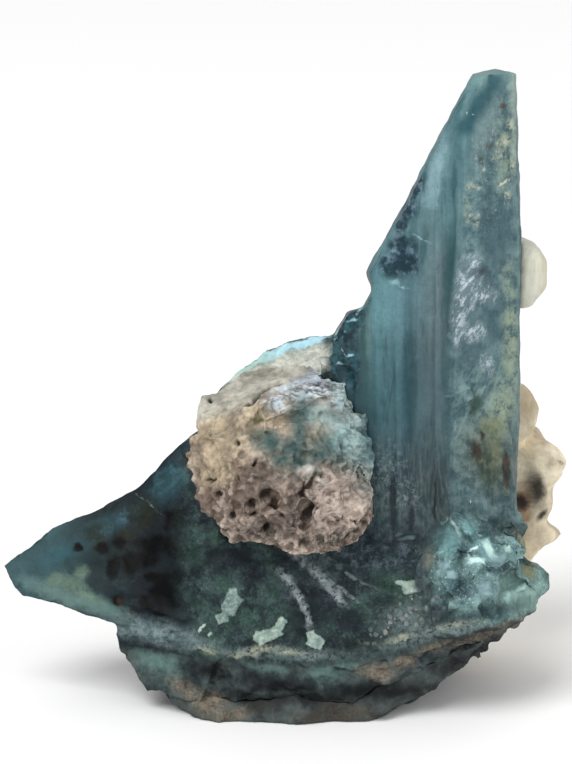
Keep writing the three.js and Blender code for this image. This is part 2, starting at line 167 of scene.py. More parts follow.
class Graph:
    """A node tree that is being written."""

    def __init__(self, tree):
        self.tree = tree
        tree.nodes.clear()

    def add(self, kind, settings=None, inputs=(), output=0):
        """A new node: its settings, the values or wires of its sockets, and the output wanted."""
        node = self.tree.nodes.new(kind)
        for name, value in (settings or {}).items():
            if name == "stops":
                set_stops(node.color_ramp, value)
            else:
                setattr(node, name, value)
        for key, value in inputs.items() if isinstance(inputs, dict) else enumerate(inputs):
            if isinstance(value, Wire):
                self.tree.links.new(value.socket, node.inputs[key])
            else:
                node.inputs[key].default_value = value
        return Wire(self, node.outputs[output])

    # vectors

    def vector(self, operation, *values, output=0):
        return self.add("ShaderNodeVectorMath", {"operation": operation}, values, output)

    def scaled(self, vector, factor):
        return self.add("ShaderNodeVectorMath", {"operation": "SCALE"}, {0: vector, "Scale": factor})

    def stretched(self, vector, scale):
        return self.vector("MULTIPLY", vector, scale)

    def turned(self, vector, axis, angle):
        inputs = {"Vector": vector, "Angle": angle}
        return self.add("ShaderNodeVectorRotate", {"rotation_type": axis}, inputs)

    def parts(self, vector):
        node = self.tree.nodes.new("ShaderNodeSeparateXYZ")
        self.tree.links.new(vector.socket, node.inputs[0])
        return tuple(Wire(self, output) for output in node.outputs)

    # patterns

    def noise(self, vector, scale, detail=2.0, rough=0.5, output=0):
        sockets = {"Vector": vector, "Scale": scale, "Detail": detail, "Roughness": rough}
        return self.add("ShaderNodeTexNoise", {"noise_dimensions": "3D"}, sockets, output)

    def cells(self, vector, scale, feature="F1", output=0):
        sockets = {"Vector": vector, "Scale": scale}
        return self.add("ShaderNodeTexVoronoi", {"feature": feature}, sockets, output)

    def pebbled(self, vector, scale):
        """Rounded grains packed together: 0.5 on their tops, less between them."""
        off_middle = self.cells(vector, scale)
        return 0.5 - off_middle * off_middle * 1.5

    def chance(self, vector, scale):
        """A random number for each cell."""
        return self.parts(self.cells(vector, scale, output="Color"))[0]

    def facets(self, vector, scale):
        """A height that is a tilted plane in each cell, as where crystal has broken."""
        corner = self.cells(vector, scale, output="Position")
        tilt = self.vector("SUBTRACT", self.cells(vector, scale, output="Color"), (0.5, 0.5, 0.5))
        return self.vector("DOT_PRODUCT", self.vector("SUBTRACT", vector, corner), tilt, output=1)

    def wandering(self, vector, scale, reach, detail=2.0, rough=0.6):
        """The same place moved about by noise, so that an edge drawn there wanders."""
        moved = self.noise(vector, scale, detail, rough, output=1)
        push = self.vector("SUBTRACT", moved, (0.5, 0.5, 0.5))
        return self.vector("ADD", vector, self.scaled(push, 2.0 * reach))

    def along(self, direction, distance):
        """A move in a fixed direction, by a distance that may vary."""
        return self.scaled(self.add("ShaderNodeCombineXYZ", None, direction), distance)

    # places on the front

    def front_plane(self, place):
        """A place as across, depth and up on the plane that faces the front."""
        return self.turned(place, "X_AXIS", LOOK_DOWN)

    def field(self, plane, places, shape="spot"):
        """The highest of several spots or tiles on the front plane.

        Each is 1 at its middle, 0 at its edge and less outside. Turns are anticlockwise.
        """
        whole = -9.0
        for across, up, half_width, half_height, turn in places:
            sockets = {
                "Plane": plane, "Whole": whole, "Centre": (across, 0.0, up), "Turn": math.radians(turn),
                "Reach": (1 / half_width, 0.0, 1 / half_height),
            }
            whole = self.add("GeometryNodeGroup", {"node_tree": place_tree(shape)}, sockets)
        return whole

    def spots(self, plane, places, edge=0.3, shape="spot"):
        """1 in the spots and 0 outside them."""
        places = places if isinstance(places, list) else [places]
        return self.field(plane, places, shape).rise(-edge, edge)

    # colours

    def blend(self, first, second, share):
        """From the first colour to the second."""
        settings = {"data_type": "RGBA", "clamp_factor": True}
        return self.add("ShaderNodeMix", settings, {0: share, 6: first, 7: second}, 2)

    def ramp(self, share, stops):
        return self.add("ShaderNodeValToRGB", {"stops": stops}, [share])


def place_tree(shape):
    """The small tree that draws one spot or tile over those already drawn."""
    name = f"Highest {shape}"
    if name in bpy.data.node_groups:
        return bpy.data.node_groups[name]
    graph = Graph(bpy.data.node_groups.new(name, "GeometryNodeTree"))
    kinds = {"Plane": "Vector", "Whole": "Float", "Centre": "Vector", "Turn": "Float", "Reach": "Vector"}
    for socket, kind in kinds.items():
        graph.tree.interface.new_socket(socket, in_out="INPUT", socket_type="NodeSocket" + kind)
    graph.tree.interface.new_socket("Whole", in_out="OUTPUT", socket_type="NodeSocketFloat")
    entry = graph.tree.nodes.new("NodeGroupInput")
    plane, whole, centre, turn, reach = (Wire(graph, entry.outputs[socket]) for socket in kinds)
    offset = graph.turned(graph.vector("SUBTRACT", plane, centre), "Y_AXIS", turn)
    offset = graph.stretched(offset, reach)
    if shape == "tile":
        sides = graph.parts(graph.vector("ABSOLUTE", offset))
        distance = sides[0].most(sides[2])
    else:
        distance = graph.vector("LENGTH", offset, output=1)
    ending = graph.tree.nodes.new("NodeGroupOutput")
    graph.tree.links.new(whole.most(1 - distance).socket, ending.inputs[0])
    return graph.tree


def set_stops(ramp, stops):
    """Sets a colour ramp's stops, each a place from 0 to 1 and a colour."""
    while len(ramp.elements) < len(stops):
        ramp.elements.new(1.0)
    for element, (place, value) in zip(ramp.elements, stops):
        element.position = place
        element.color = value


# ------------------------------------------------------------------ meshes

MOST_TRIANGLES = 190000  # of a piece
SAME_PLACE = 1e-7  # vertices of a solid this close are one, in metres
SEATED, FREE = 0.5 * MM, 1.1 * MM  # pressed fully where this near to a neighbour, and not past this
WEAR_PASSES = 3  # blurs of the surface that wear its sharp points
LEDGE_PASSES = 70  # and that wear whole ledges
ROUND_PASSES = 24  # and that round the feldspar behind and the side crystal


def copy_of_solid(node, name):
    """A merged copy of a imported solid, as a new object at the origin."""
    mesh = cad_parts[node].data.copy()
    mesh.name = name
    mesh.materials.clear()
    shape = bmesh.new()
    shape.from_mesh(mesh)
    bmesh.ops.remove_doubles(shape, verts=shape.verts, dist=SAME_PLACE)
    shape.to_mesh(mesh)
    shape.free()
    piece = bpy.data.objects.new(name, mesh)
    bpy.context.scene.collection.objects.link(piece)
    return piece


def settle(piece):
    """Turns what the piece's modifiers make into its plain mesh."""
    depsgraph = bpy.context.evaluated_depsgraph_get()
    made = bpy.data.meshes.new_from_object(piece.evaluated_get(depsgraph))
    piece.modifiers.clear()
    piece.data = made
    made.name = piece.name


def swell(piece, amount):
    """Moves the surface out, so that a remesh closes narrow gaps. The relief moves it back."""
    modifier = piece.modifiers.new("Swell", "DISPLACE")
    modifier.mid_level = 0.0
    modifier.strength = amount * MM


def remesh(piece, cell):
    """Fuses the piece and what stands on it into one skin of fine cells."""
    modifier = piece.modifiers.new("Fine cells", "REMESH")
    modifier.mode = "VOXEL"
    modifier.voxel_size = cell * 1.0
    modifier.use_smooth_shade = True


def thin(piece):
    """Keeps a piece under its number of triangles, with fewest where it is flat."""
    count = sum(len(face.vertices) - 2 for face in piece.data.polygons)
    if count <= MOST_TRIANGLES:
        return
    modifier = piece.modifiers.new("Thin", "DECIMATE")
    modifier.ratio = MOST_TRIANGLES / count
    settle(piece)


class PieceTree(Graph):
    """A Geometry Nodes tree for one piece, with its modifier's inputs by name."""

    def __init__(self, name, sizes):
        super().__init__(bpy.data.node_groups.new(name, "GeometryNodeTree"))
        interface = self.tree.interface
        interface.new_socket("Geometry", in_out="INPUT", socket_type="NodeSocketGeometry")
        self.sizes = sizes
        self.identifiers = {
            size: interface.new_socket(size, in_out="INPUT", socket_type="NodeSocketFloat").identifier
            for size in sizes
        }
        interface.new_socket("Geometry", in_out="OUTPUT", socket_type="NodeSocketGeometry")
        entry = self.tree.nodes.new("NodeGroupInput")
        self.geometry = Wire(self, entry.outputs["Geometry"])
        self.inputs = {size: Wire(self, entry.outputs[size]) for size in sizes}
        self.position = self.add("GeometryNodeInputPosition")
        self.normal = self.add("GeometryNodeInputNormal")
        self.place = self.scaled(self.position, 1 / MM)

    def apply(self, piece, material):
        """Ends the tree, and puts it on the piece."""
        geometry = self.add("GeometryNodeRealizeInstances", None, {0: self.geometry})
        sockets = {"Geometry": geometry, "Material": material}
        geometry = self.add("GeometryNodeSetMaterial", None, sockets)
        output = self.tree.nodes.new("NodeGroupOutput")
        self.tree.links.new(geometry.socket, output.inputs[0])
        modifier = piece.modifiers.new(self.tree.name, "NODES")
        modifier.node_group = self.tree
        for size, value in self.sizes.items():
            modifier[self.identifiers[size]] = value

    def keep(self, name, value, data_type="FLOAT"):
        """Keeps a value on the surface by name, and gives it back as it is read there."""
        settings = {"data_type": data_type, "domain": "POINT"}
        sockets = {"Geometry": self.geometry, "Name": name, "Value": value}
        self.geometry = self.add("GeometryNodeStoreNamedAttribute", settings, sockets)
        return self.add("GeometryNodeInputNamedAttribute", {"data_type": data_type}, {"Name": name})

    def soften(self, share, passes):
        """Wears the surface towards the average of what is round each place, by a share."""
        sockets = {"Value": self.position, "Iterations": passes}
        worn = self.add("GeometryNodeBlurAttribute", {"data_type": "FLOAT_VECTOR"}, sockets)
        move = self.scaled(self.vector("SUBTRACT", worn, self.position), share)
        sockets = {"Geometry": self.geometry, "Offset": move}
        self.geometry = self.add("GeometryNodeSetPosition", None, sockets)

    def press(self, solid, reach):
        """The move that closes the gap towards a neighbouring solid, where it is near."""
        settings = {"transform_space": "ORIGINAL"}
        target = self.add("GeometryNodeObjectInfo", settings, {"Object": solid}, "Geometry")
        nearest = self.add("GeometryNodeProximity", {"target_element": "FACES"}, [target])
        distance = Wire(self, nearest.socket.node.outputs["Distance"])
        towards = self.vector("NORMALIZE", self.vector("SUBTRACT", nearest, self.position))
        return self.scaled(towards, reach * distance.rise(FREE, SEATED))


def stand_grains(piece, name, shape, density, sizes, where, seed, material):
    """Stands faceted grains on a piece, for the remesh to fuse with it.

    shape is "grain" or "crystal". density is in grains for each square millimetre, and where(tree)
    is 1 where they grow. sizes are the least and most radius in millimetres.
    """
    tree = PieceTree(name, {"Least size": sizes[0], "Most size": sizes[1], "Density": density})
    if shape == "crystal":
        grain = tree.add("GeometryNodeMeshCube", None, {"Size": (1.5 * MM, 1.1 * MM, 2.0 * MM)}, "Mesh")
    else:
        grain = tree.add("GeometryNodeMeshIcoSphere", None, {"Radius": 1.0 * MM, "Subdivisions": 1}, "Mesh")
    per_square_metre = tree.inputs["Density"] * where(tree) / MM ** 2
    scatter = {"Mesh": tree.geometry, "Density": per_square_metre, "Seed": seed}
    points = tree.add("GeometryNodeDistributePointsOnFaces", {"distribute_method": "RANDOM"}, scatter)
    upright = Wire(tree, points.socket.node.outputs["Rotation"])
    lean = 0.9 if shape == "crystal" else math.pi
    tilt = {0: (-lean, -lean, -math.pi), 1: (lean, lean, math.pi), "Seed": seed + 1}
    turn = tree.add("FunctionNodeRandomValue", {"data_type": "FLOAT_VECTOR"}, tilt)
    turned = tree.add("FunctionNodeRotateRotation", {"rotation_space": "LOCAL"}, {0: upright, 1: turn})
    size = {2: tree.inputs["Least size"], 3: tree.inputs["Most size"], "Seed": seed + 2}
    scale = tree.add("FunctionNodeRandomValue", {"data_type": "FLOAT"}, size, 1)
    uneven = {0: (0.6, 0.6, 0.6), 1: (1.3, 1.3, 1.3), "Seed": seed + 3}
    shape_scale = tree.add("FunctionNodeRandomValue", {"data_type": "FLOAT_VECTOR"}, uneven)
    placed = {
        "Points": points, "Instance": grain, "Rotation": turned, "Scale": tree.scaled(shape_scale, scale),
    }
    grains = tree.add("GeometryNodeInstanceOnPoints", None, placed)
    join = tree.tree.nodes.new("GeometryNodeJoinGeometry")
    for part in (tree.add("GeometryNodeRealizeInstances", None, {0: grains}), tree.geometry):
        tree.tree.links.new(part.socket, join.inputs[0])
    tree.geometry = Wire(tree, join.outputs[0])
    tree.apply(piece, material)


def grow_relief(piece, name, sizes, height, paint, neighbours=()):
    """Gives a piece the relief that height() draws, pressed against the solids it grew on.

    height(tree) returns the height in millimetres, a sideways move in millimetres and a
    dictionary of numbers to keep on the surface for the material. paint is the material and the
    patches that it needs kept.
    """
    material, patches = paint
    tree = PieceTree(name, sizes)
    planes = {
        "ragged": tree.wandering(tree.place, 0.9, 0.6, 3.0, 0.7),
        "crisp": tree.wandering(tree.place, 1.4, 0.16, 2.0, 0.6),
        "plain": tree.place,
    }
    tree.planes = {
        plane: tree.keep(plane, tree.front_plane(place), "FLOAT_VECTOR")
        for plane, place in planes.items()
    }
    rise, shift, kept = height(tree)
    for patch, (places, plane, shape) in patches.items():
        kept[patch] = tree.field(tree.planes[plane], places, shape)
    off_floor = tree.parts(tree.place)[2].rise(0.1, 0.8)
    level = tree.vector("MULTIPLY", tree.normal, (1.0, 1.0, 0.0))
    upright = tree.scaled(tree.vector("MULTIPLY", tree.normal, (0.0, 0.0, 1.0)), off_floor)
    offset = tree.scaled(tree.vector("ADD", level, upright), rise * MM)
    offset = tree.vector("ADD", offset, tree.scaled(shift, off_floor * MM))
    for solid in neighbours:
        offset = tree.vector("ADD", offset, tree.press(solid, tree.inputs["Seat"]))
    for kept_name, value in kept.items():
        tree.keep(kept_name, value)
    moved = {"Geometry": tree.geometry, "Offset": offset}
    tree.geometry = tree.add("GeometryNodeSetPosition", None, moved)
    tree.soften(tree.inputs["Wear"], WEAR_PASSES)
    for plane in planes:
        sockets = {"Geometry": tree.geometry, "Name": plane}
        tree.geometry = tree.add("GeometryNodeRemoveAttribute", None, sockets)
    tree.apply(piece, material)


def wear_ledges(piece, material):
    """Wears down the sharp feet and edges of the blade's laths, and of the steps behind it."""
    tree = PieceTree("Worn ledges", {})
    flat = tree.front_plane(tree.place)
    behind = tree.spots(flat, STEPS_BEHIND, 0.4) * tree.parts(tree.place)[1].rise(*BEHIND_SPLINTERS)
    tree.soften(tree.spots(flat, LEDGES, 0.35).most(behind * 0.9), LEDGE_PASSES)
    tree.apply(piece, material)


def drop_specks(piece):
    """Removes the specks that a remesh leaves beside the piece or inside it."""
    shape = bmesh.new()
    shape.from_mesh(piece.data)
    unseen, islands = set(shape.verts), []
    while unseen:
        island = [unseen.pop()]
        for vertex in island:
            for edge in vertex.link_edges:
                other = edge.other_vert(vertex)
                if other in unseen:
                    unseen.remove(other)
                    island.append(other)
        islands.append(island)
    islands.sort(key=len)
    specks = [vertex for island in islands[:-1] for vertex in island]
    bmesh.ops.delete(shape, geom=specks, context="VERTS")
    shape.to_mesh(piece.data)
    shape.free()


def finish_piece(piece, material_slot, *nodes):
    """Settles the piece, and stands it in for its CAD nodes."""
    settle(piece)
    thin(piece)
    drop_specks(piece)
    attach(piece, BODY)
    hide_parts(*nodes)


# ------------------------------------------------------------------ materials


class Surface(Graph):
    """A material being written: its places, its colour and its bump."""

    def __init__(self, name):
        self.material = bpy.data.materials.new(name)
        self.material.use_nodes = True
        super().__init__(self.material.node_tree)
        self.place = self.scaled(self.add("ShaderNodeTexCoord", output="Object"), 1 / MM)
        self.x, self.y, self.z = self.parts(self.place)
        self.plane = self.front_plane(self.place)
        self.u, _, self.v = self.parts(self.plane)
        self.ragged_u, _, self.ragged_v = self.parts(
            self.front_plane(self.wandering(self.place, 0.9, 0.6, 5.0, 0.75))
        )
        normal = self.add("ShaderNodeNewGeometry", output="Normal")
        self.normal_x, self.normal_y, self.normal_z = self.parts(normal)
        self.front = self.normal_y.rise(NOT_FRONT, FRONT)
        self.mottle = self.noise(self.place, 0.8, 5.0, 0.72)
        self.speck = self.noise(self.place, 3.4, 3.0, 0.75)
        self.patches = {}

    def kept(self, name):
        """A number kept on the surface by the piece's relief."""
        return self.add("ShaderNodeAttribute", {"attribute_name": name}, output="Fac")

    def patch(self, places, edge=0.3, plane="ragged", shape="spot"):
        """1 in patches on the front and 0 outside them.

        The piece's relief tree keeps how deep inside the patches each point is, and here its
        edge is broken up finely. plane is how far that edge wanders: ragged, crisp or plain.
        """
        name = f"patch {len(self.patches)}"
        self.patches[name] = (places if isinstance(places, list) else [places], plane, shape)
        depth = self.kept(name)
        if plane != "plain":
            depth = depth + (self.speck - 0.5) * 0.5
        return depth.rise(-edge, edge) * self.front

    def lay(self, face, *layers):
        """Lays patches of colour over a face, one after another.

        Each layer is its colour, its places, their edge and how much of it shows. Patterns may
        follow, each with the two values between which it comes up, and the layer shows in them.
        """
        for colour, places, edge, share, *patterns in layers:
            mask = self.patch(places, edge)
            for pattern, low, high in patterns:
                mask = mask * pattern.rise(low, high)
            face = self.blend(face, colour, mask * share)
        return face

    def finish(self, base_colour, roughness, bump_height, bump_depth, coat=None, **fixed):
        """Wires the shader. fixed are values that are the same all over."""
        shader = self.tree.nodes.new("ShaderNodeBsdfPrincipled")
        links = self.tree.links
        links.new(base_colour.socket, shader.inputs["Base Color"])
        links.new(roughness.socket, shader.inputs["Roughness"])
        height = {"Strength": 1.0, "Distance": bump_depth * MM, "Height": bump_height}
        links.new(self.add("ShaderNodeBump", None, height).socket, shader.inputs["Normal"])
        if coat is not None:
            links.new(coat.socket, shader.inputs["Coat Weight"])
        for name, value in fixed.items():
            shader.inputs[name.replace("_", " ")].default_value = value
        output = self.tree.nodes.new("ShaderNodeOutputMaterial")
        links.new(shader.outputs[0], output.inputs[0])
        return self.material, self.patches


# ------------------------------------------------------------------ places on the crystals
# Each is across, up, half width, half height and turn on the front plane.

CHIPS = [
    (11.3, 45.6, 0.6, 1.3, -25), (10.6, 43.6, 1.0, 1.2, -24), (10.1, 42.2, 0.6, 0.8, -24),
    (10.2, 40.3, 1.3, 1.1, -20), (9.6, 38.7, 1.5, 1.3, -28), (10.7, 39.0, 0.9, 1.5, 8),
]
CHIP_GLINTS = [(12.1, 41.0, 0.75, 0.12, -25), (9.6, 37.1, 0.38, 0.2, 12), (10.4, 36.6, 0.5, 0.1, -12)]
SPLINTERS = [(5.4, 33.0, 1.1, 2.9, -32), (4.8, 30.4, 1.0, 1.5, -10), (6.0, 29.3, 0.7, 2.0, 0)]
SPLINTER_GLINTS = [
    (6.44, 34.8, 0.2, 0.4, -15), (5.75, 33.65, 0.55, 0.1, -3), (6.2, 34.0, 0.35, 0.08, 42),
    (4.33, 32.8, 0.1, 0.38, -20), (5.2, 32.7, 0.2, 0.12, 15), (4.14, 31.95, 0.09, 0.5, -40),
    (5.75, 30.5, 0.32, 0.12, 20), (5.0, 29.7, 0.4, 0.12, -10), (5.1, 30.8, 0.1, 0.5, 30),
]
SLAB_TOP = [(0.2, 29.6, 3.4, 1.6, 20), (-3.6, 28.2, 2.6, 1.4, 24), (2.6, 30.4, 1.8, 1.4, 20)]
# the clear lath: its pale blue colour, lightened further as painted light on its upper ridge
LIT_CLEAR_LATH = [(-3.9, 29.6, 1.7, 0.42, 34), (-1.2, 30.9, 2.0, 0.46, 24), (1.8, 32.0, 2.0, 0.46, 18)]
BULGE = [(16.3, 11.2, 3.6, 4.6, 0), (19.8, 10.4, 3.8, 4.4, 12)]
PEAKS = [(14.3, 14.2, 1.2, 1.5, 30), (16.45, 15.2, 0.6, 0.8, 8), (18.1, 13.0, 0.7, 1.0, 0)]
# painted highlights: bright white glints on the bulge's facets
BULGE_HIGHLIGHTS = [
    (17.15, 12.1, 0.75, 0.22, 3), (18.3, 13.1, 0.28, 0.8, 35), (17.5, 14.4, 0.2, 0.1, 0),
    (15.0, 15.2, 0.17, 0.85, 37), (19.9, 13.1, 0.25, 0.2, 24), (17.0, 13.2, 0.35, 0.12, 10),
]
# painted shade in the bulge's hollows
BULGE_SHADE = [(19.0, 11.2, 2.0, 0.5, -4), (16.0, 12.9, 0.9, 0.8, -20), (15.6, 9.4, 1.2, 1.0, 0)]
PALE_FACES = [
    (17.9, 9.4, 0.6, 0.7, 12), (19.5, 9.7, 0.5, 0.5, 30), (14.1, 11.6, 0.5, 0.45, 20),
    (14.9, 10.7, 0.4, 0.3, 0), (19.0, 12.3, 1.1, 0.3, -4),
]
PLATES = [
    (-5.1, 7.9, 0.75, 0.95, -28), (-4.8, 8.7, 0.35, 0.7, 12), (-5.9, 6.6, 0.55, 0.45, 14),
    (-1.7, 5.2, 1.25, 0.6, 26), (-0.7, 6.0, 0.42, 0.8, -34), (-2.4, 5.0, 0.6, 0.5, -8),
    (2.6, 4.6, 0.75, 0.6, -22), (2.2, 5.0, 0.4, 0.5, 20), (11.4, 9.6, 0.95, 0.55, 8),
    (12.3, 10.0, 0.4, 0.5, -30), (10.3, 9.9, 0.5, 0.2, 0), (-7.8, 5.7, 0.14, 0.5, -40),
    (-7.0, 5.2, 0.12, 0.25, -40), (13.8, 11.9, 0.45, 0.4, 30),
]
SEAMS = [
    (0.9, 12.4, 2.3, 0.3, -42), (2.9, 10.5, 1.6, 0.4, -44), (4.4, 8.9, 1.1, 0.3, -50),
    (-0.1, 10.2, 1.1, 0.34, -50), (1.0, 8.6, 1.1, 0.28, -64), (1.7, 6.9, 1.0, 0.28, -76),
]
HAIRLINES = [(5.6, 10.7, 2.3, 0.13, -29), (5.3, 9.1, 2.0, 0.14, -37), (3.2, 12.6, 1.6, 0.1, -30)]
KEEL = [
    (-12.6, 5.2, 3.2, 0.95, -12), (-8.4, 4.3, 2.6, 0.6, -14), (-2.6, 3.5, 3.0, 0.45, 4),
    (3.8, 3.3, 3.4, 0.5, 0), (9.8, 4.3, 3.4, 0.6, 14), (16.0, 6.0, 4.2, 0.75, 13),
]
KEEL_CREAM = [
    (-2.7, 3.7, 1.5, 0.38, 12), (-7.3, 3.6, 0.9, 0.3, -12), (0.6, 3.6, 1.1, 0.22, 0),
    (-4.6, 3.2, 0.8, 0.22, 10), (15.6, 6.2, 2.4, 0.26, 12), (10.4, 4.9, 1.2, 0.24, 14),
]
BLOTCHES = [
    (-15.9, 11.2, 0.55, 1.1, -14), (-14.4, 11.5, 0.75, 1.1, 8), (-13.1, 12.0, 1.2, 0.8, 10),
    (-12.0, 13.3, 1.9, 0.8, 4), (-12.6, 10.3, 0.6, 0.5, 0), (-11.4, 10.1, 1.0, 0.7, 0),
    (-11.3, 8.8, 1.4, 1.2, 0), (-9.9, 9.6, 0.8, 1.6, 0), (-10.2, 8.2, 1.2, 0.6, 0),
    (-12.8, 8.0, 0.7, 0.8, 20), (-15.6, 8.2, 0.55, 0.5, 0), (-11.8, 6.9, 0.6, 0.4, -20),
    (-17.0, 12.9, 0.6, 0.6, 0), (-19.2, 13.0, 0.5, 0.4, 0), (-15.4, 13.4, 0.6, 0.5, 0),
    (-10.2, 15.9, 1.1, 0.8, 0), (-10.8, 14.9, 0.5, 0.4, 0), (-5.6, 13.6, 1.2, 0.65, -32),
    (-7.2, 14.6, 0.6, 0.5, -30), (-9.8, 12.7, 1.4, 0.4, 6),
]
STAINS = [(-17.2, 14.4, 1.6, 0.8, 22), (-13.2, 16.2, 1.2, 1.5, -20), (-14.8, 13.6, 1.2, 0.9, 0)]
# painted light along the wing's upper rim
WING_RIM_LIGHT = [(-20.4, 12.6, 3.0, 0.7, 26), (-16.8, 14.8, 2.0, 0.8, 30), (-10.2, 19.6, 2.8, 1.3, 45)]
# painted soft highlights on the wing's gloss
WING_HIGHLIGHTS = [(-14.4, 16.2, 1.1, 0.8, 40), (-11.0, 19.4, 1.5, 0.7, 45), (-9.4, 20.0, 0.6, 1.2, 0)]
WING_RUST = [(-9.0, 20.6, 0.6, 1.1, 10), (-15.4, 8.1, 0.35, 0.4, 0), (-14.2, 6.8, 0.4, 0.25, 0)]
GREEN_SKIN = [
    (-21.2, 10.0, 1.0, 0.6, 12), (-18.9, 10.7, 0.8, 0.6, 10), (-19.6, 9.4, 1.3, 0.8, -25),
    (-18.0, 8.4, 1.2, 0.5, -30),
]
FOOT_SHADE = [
    (2.2, 8.0, 1.8, 2.8, 20), (0.4, 11.6, 1.4, 1.0, 0), (5.6, 6.6, 2.4, 1.2, -20),
    (-5.4, 12.0, 2.4, 1.2, 0), (-3.0, 10.6, 1.4, 0.8, 0),
]
SEAM_HAZE = [(1.6, 12.6, 2.6, 0.8, -42), (3.0, 10.6, 2.0, 0.9, -46), (0.2, 9.6, 1.6, 0.7, -56)]
PEBBLE_BED = [(11.9, 7.6, 1.6, 1.6, 30), (9.8, 6.0, 2.4, 1.0, 24), (13.6, 8.6, 1.0, 1.2, 0)]
COTTON = [
    (16.0, 36.6, 1.3, 1.8, 0), (15.3, 33.4, 0.8, 1.8, 0), (17.8, 36.0, 1.0, 0.8, -20),
    (17.0, 32.6, 1.0, 0.7, 30), (17.0, 38.7, 0.6, 0.7, 0), (18.2, 29.6, 0.5, 0.9, 0),
]
CREAM_SPECKS = [
    (19.8, 49.7, 0.42, 0.35, 0), (19.0, 49.4, 0.2, 0.22, 0), (19.2, 48.4, 0.3, 0.28, 0),
    (18.4, 48.0, 0.2, 0.2, 0), (16.3, 45.6, 0.45, 0.3, 10), (17.3, 45.5, 0.22, 0.22, 0),
    (16.7, 42.4, 0.5, 0.26, -25), (15.9, 44.4, 0.3, 0.5, 0), (20.0, 44.9, 0.3, 0.34, 0),
    (17.2, 43.0, 0.25, 0.25, 0), (20.3, 51.2, 0.3, 0.5, 0), (17.8, 47.1, 0.22, 0.2, 0),
    (16.0, 43.2, 0.3, 0.3, 0), (20.5, 47.6, 0.25, 0.6, 0), (18.6, 50.6, 0.16, 0.2, 0),
]
DARK_SPECKS = [(18.3, 49.2, 0.5, 0.3, 0), (17.4, 48.0, 0.3, 0.3, 0), (17.6, 38.0, 0.5, 0.25, 0)]
SLATE = [
    (18.9, 41.4, 1.5, 3.0, 0), (18.8, 33.4, 0.9, 2.0, 0), (16.8, 30.0, 1.6, 2.4, 0),
    (16.2, 34.8, 1.4, 2.2, 0), (17.4, 37.2, 1.6, 1.6, 0),
]
THICK_MOSS = [(20.5, 31.6, 0.7, 4.6, 0), (19.6, 25.8, 1.3, 2.6, -20)]
THIN_MOSS = [(19.6, 48.6, 0.7, 2.8, 0), (15.6, 44.6, 0.6, 2.2, 0), (20.2, 36.8, 0.6, 2.0, 0)]
FEATHERS = [(17.2, 26.4, 2.2, 3.2, -30), (15.8, 24.0, 1.4, 2.4, -30)]
TIP_BAND = [(17.5, 53.3, 0.85, 3.1, -36), (18.6, 55.0, 0.9, 1.2, -20), (15.8, 51.0, 0.8, 0.9, -20)]
FOOT_CRUST = [(9.0, 20.0, 1.6, 2.4, 0), (10.6, 18.0, 1.4, 1.6, 0)]
FOOT_CRACKS = [(9.6, 16.6, 0.3, 2.8, 4), (11.2, 15.6, 0.25, 2.0, 0), (13.4, 17.4, 0.2, 2.6, 0)]
FOOT_GLINTS = [(14.5, 18.3, 0.12, 0.12, 0), (14.6, 18.8, 0.08, 0.08, 0), (16.6, 17.3, 0.08, 0.3, 0)]
RUST_SHELLS = [(17.1, 21.8, 0.42, 1.0, 8), (17.8, 23.2, 0.35, 0.45, -30), (20.0, 20.1, 0.45, 1.9, 2)]
RUST_CORES = [(17.1, 22.0, 0.24, 0.6, 8), (20.05, 20.9, 0.22, 0.8, 0), (20.0, 19.0, 0.18, 0.5, 0)]

RIDGE_LOW = (14.6, 35.0)  # the blade's front ridge: across and height where it bends
RIDGE_RUN = 0.115  # how far it moves right for each millimetre up, above there

# The keel along the foot's front: its height in the middle, and how it climbs at each side.
KEEL_HEIGHT, KEEL_LEFT, KEEL_RIGHT = 3.3, (-3.0, 0.1), (6.0, 0.28)


def right_of_ridge(x, z):
    """How far right of the blade's ridge a place is."""
    across, height = RIDGE_LOW
    return x - (z - height).most(0.0) * RIDGE_RUN - across


def above_keel(u, v):
    """How far above the keel a place on the front plane is."""
    left = (KEEL_LEFT[0] - u).most(0.0) * KEEL_LEFT[1]
    right = (u - KEEL_RIGHT[0]).most(0.0) * KEEL_RIGHT[1]
    return v - KEEL_HEIGHT - left - right


# ------------------------------------------------------------------ grandidierite


CLOSED_GAP = 0.28  # half the width of the gaps between crystals that the remesh closes
# Where the crystals are worn smooth in front, and behind where they are this deep.
LEDGES = [
    (10.8, 14.2, 4.4, 2.2, 0), (18.4, 20.6, 3.6, 4.4, 0), (6.2, 36.2, 1.2, 1.2, 0),
    (10.2, 37.6, 0.8, 7.0, -3), (5.0, 34.3, 0.8, 0.8, 0),
]
STEPS_BEHIND = (6.6, 31.6, 4.6, 4.4, 0)
BEHIND_SPLINTERS = (-4.8, -3.4)
# Where a spike leans back towards the blade, and where the blade runs out over the ledge at its
# foot: forward to a plane this far in front of the origin, which leans back by this much for each
# millimetre up, but no further than the last.
DRAWN_BACK = (5.9, 36.6, 1.3, 1.5, 0)
APRON = (9.4, 16.6, 5.0, 3.8, 0)
APRON_FRONT, APRON_LEAN, APRON_MOST = 14.4, 0.33, 2.0


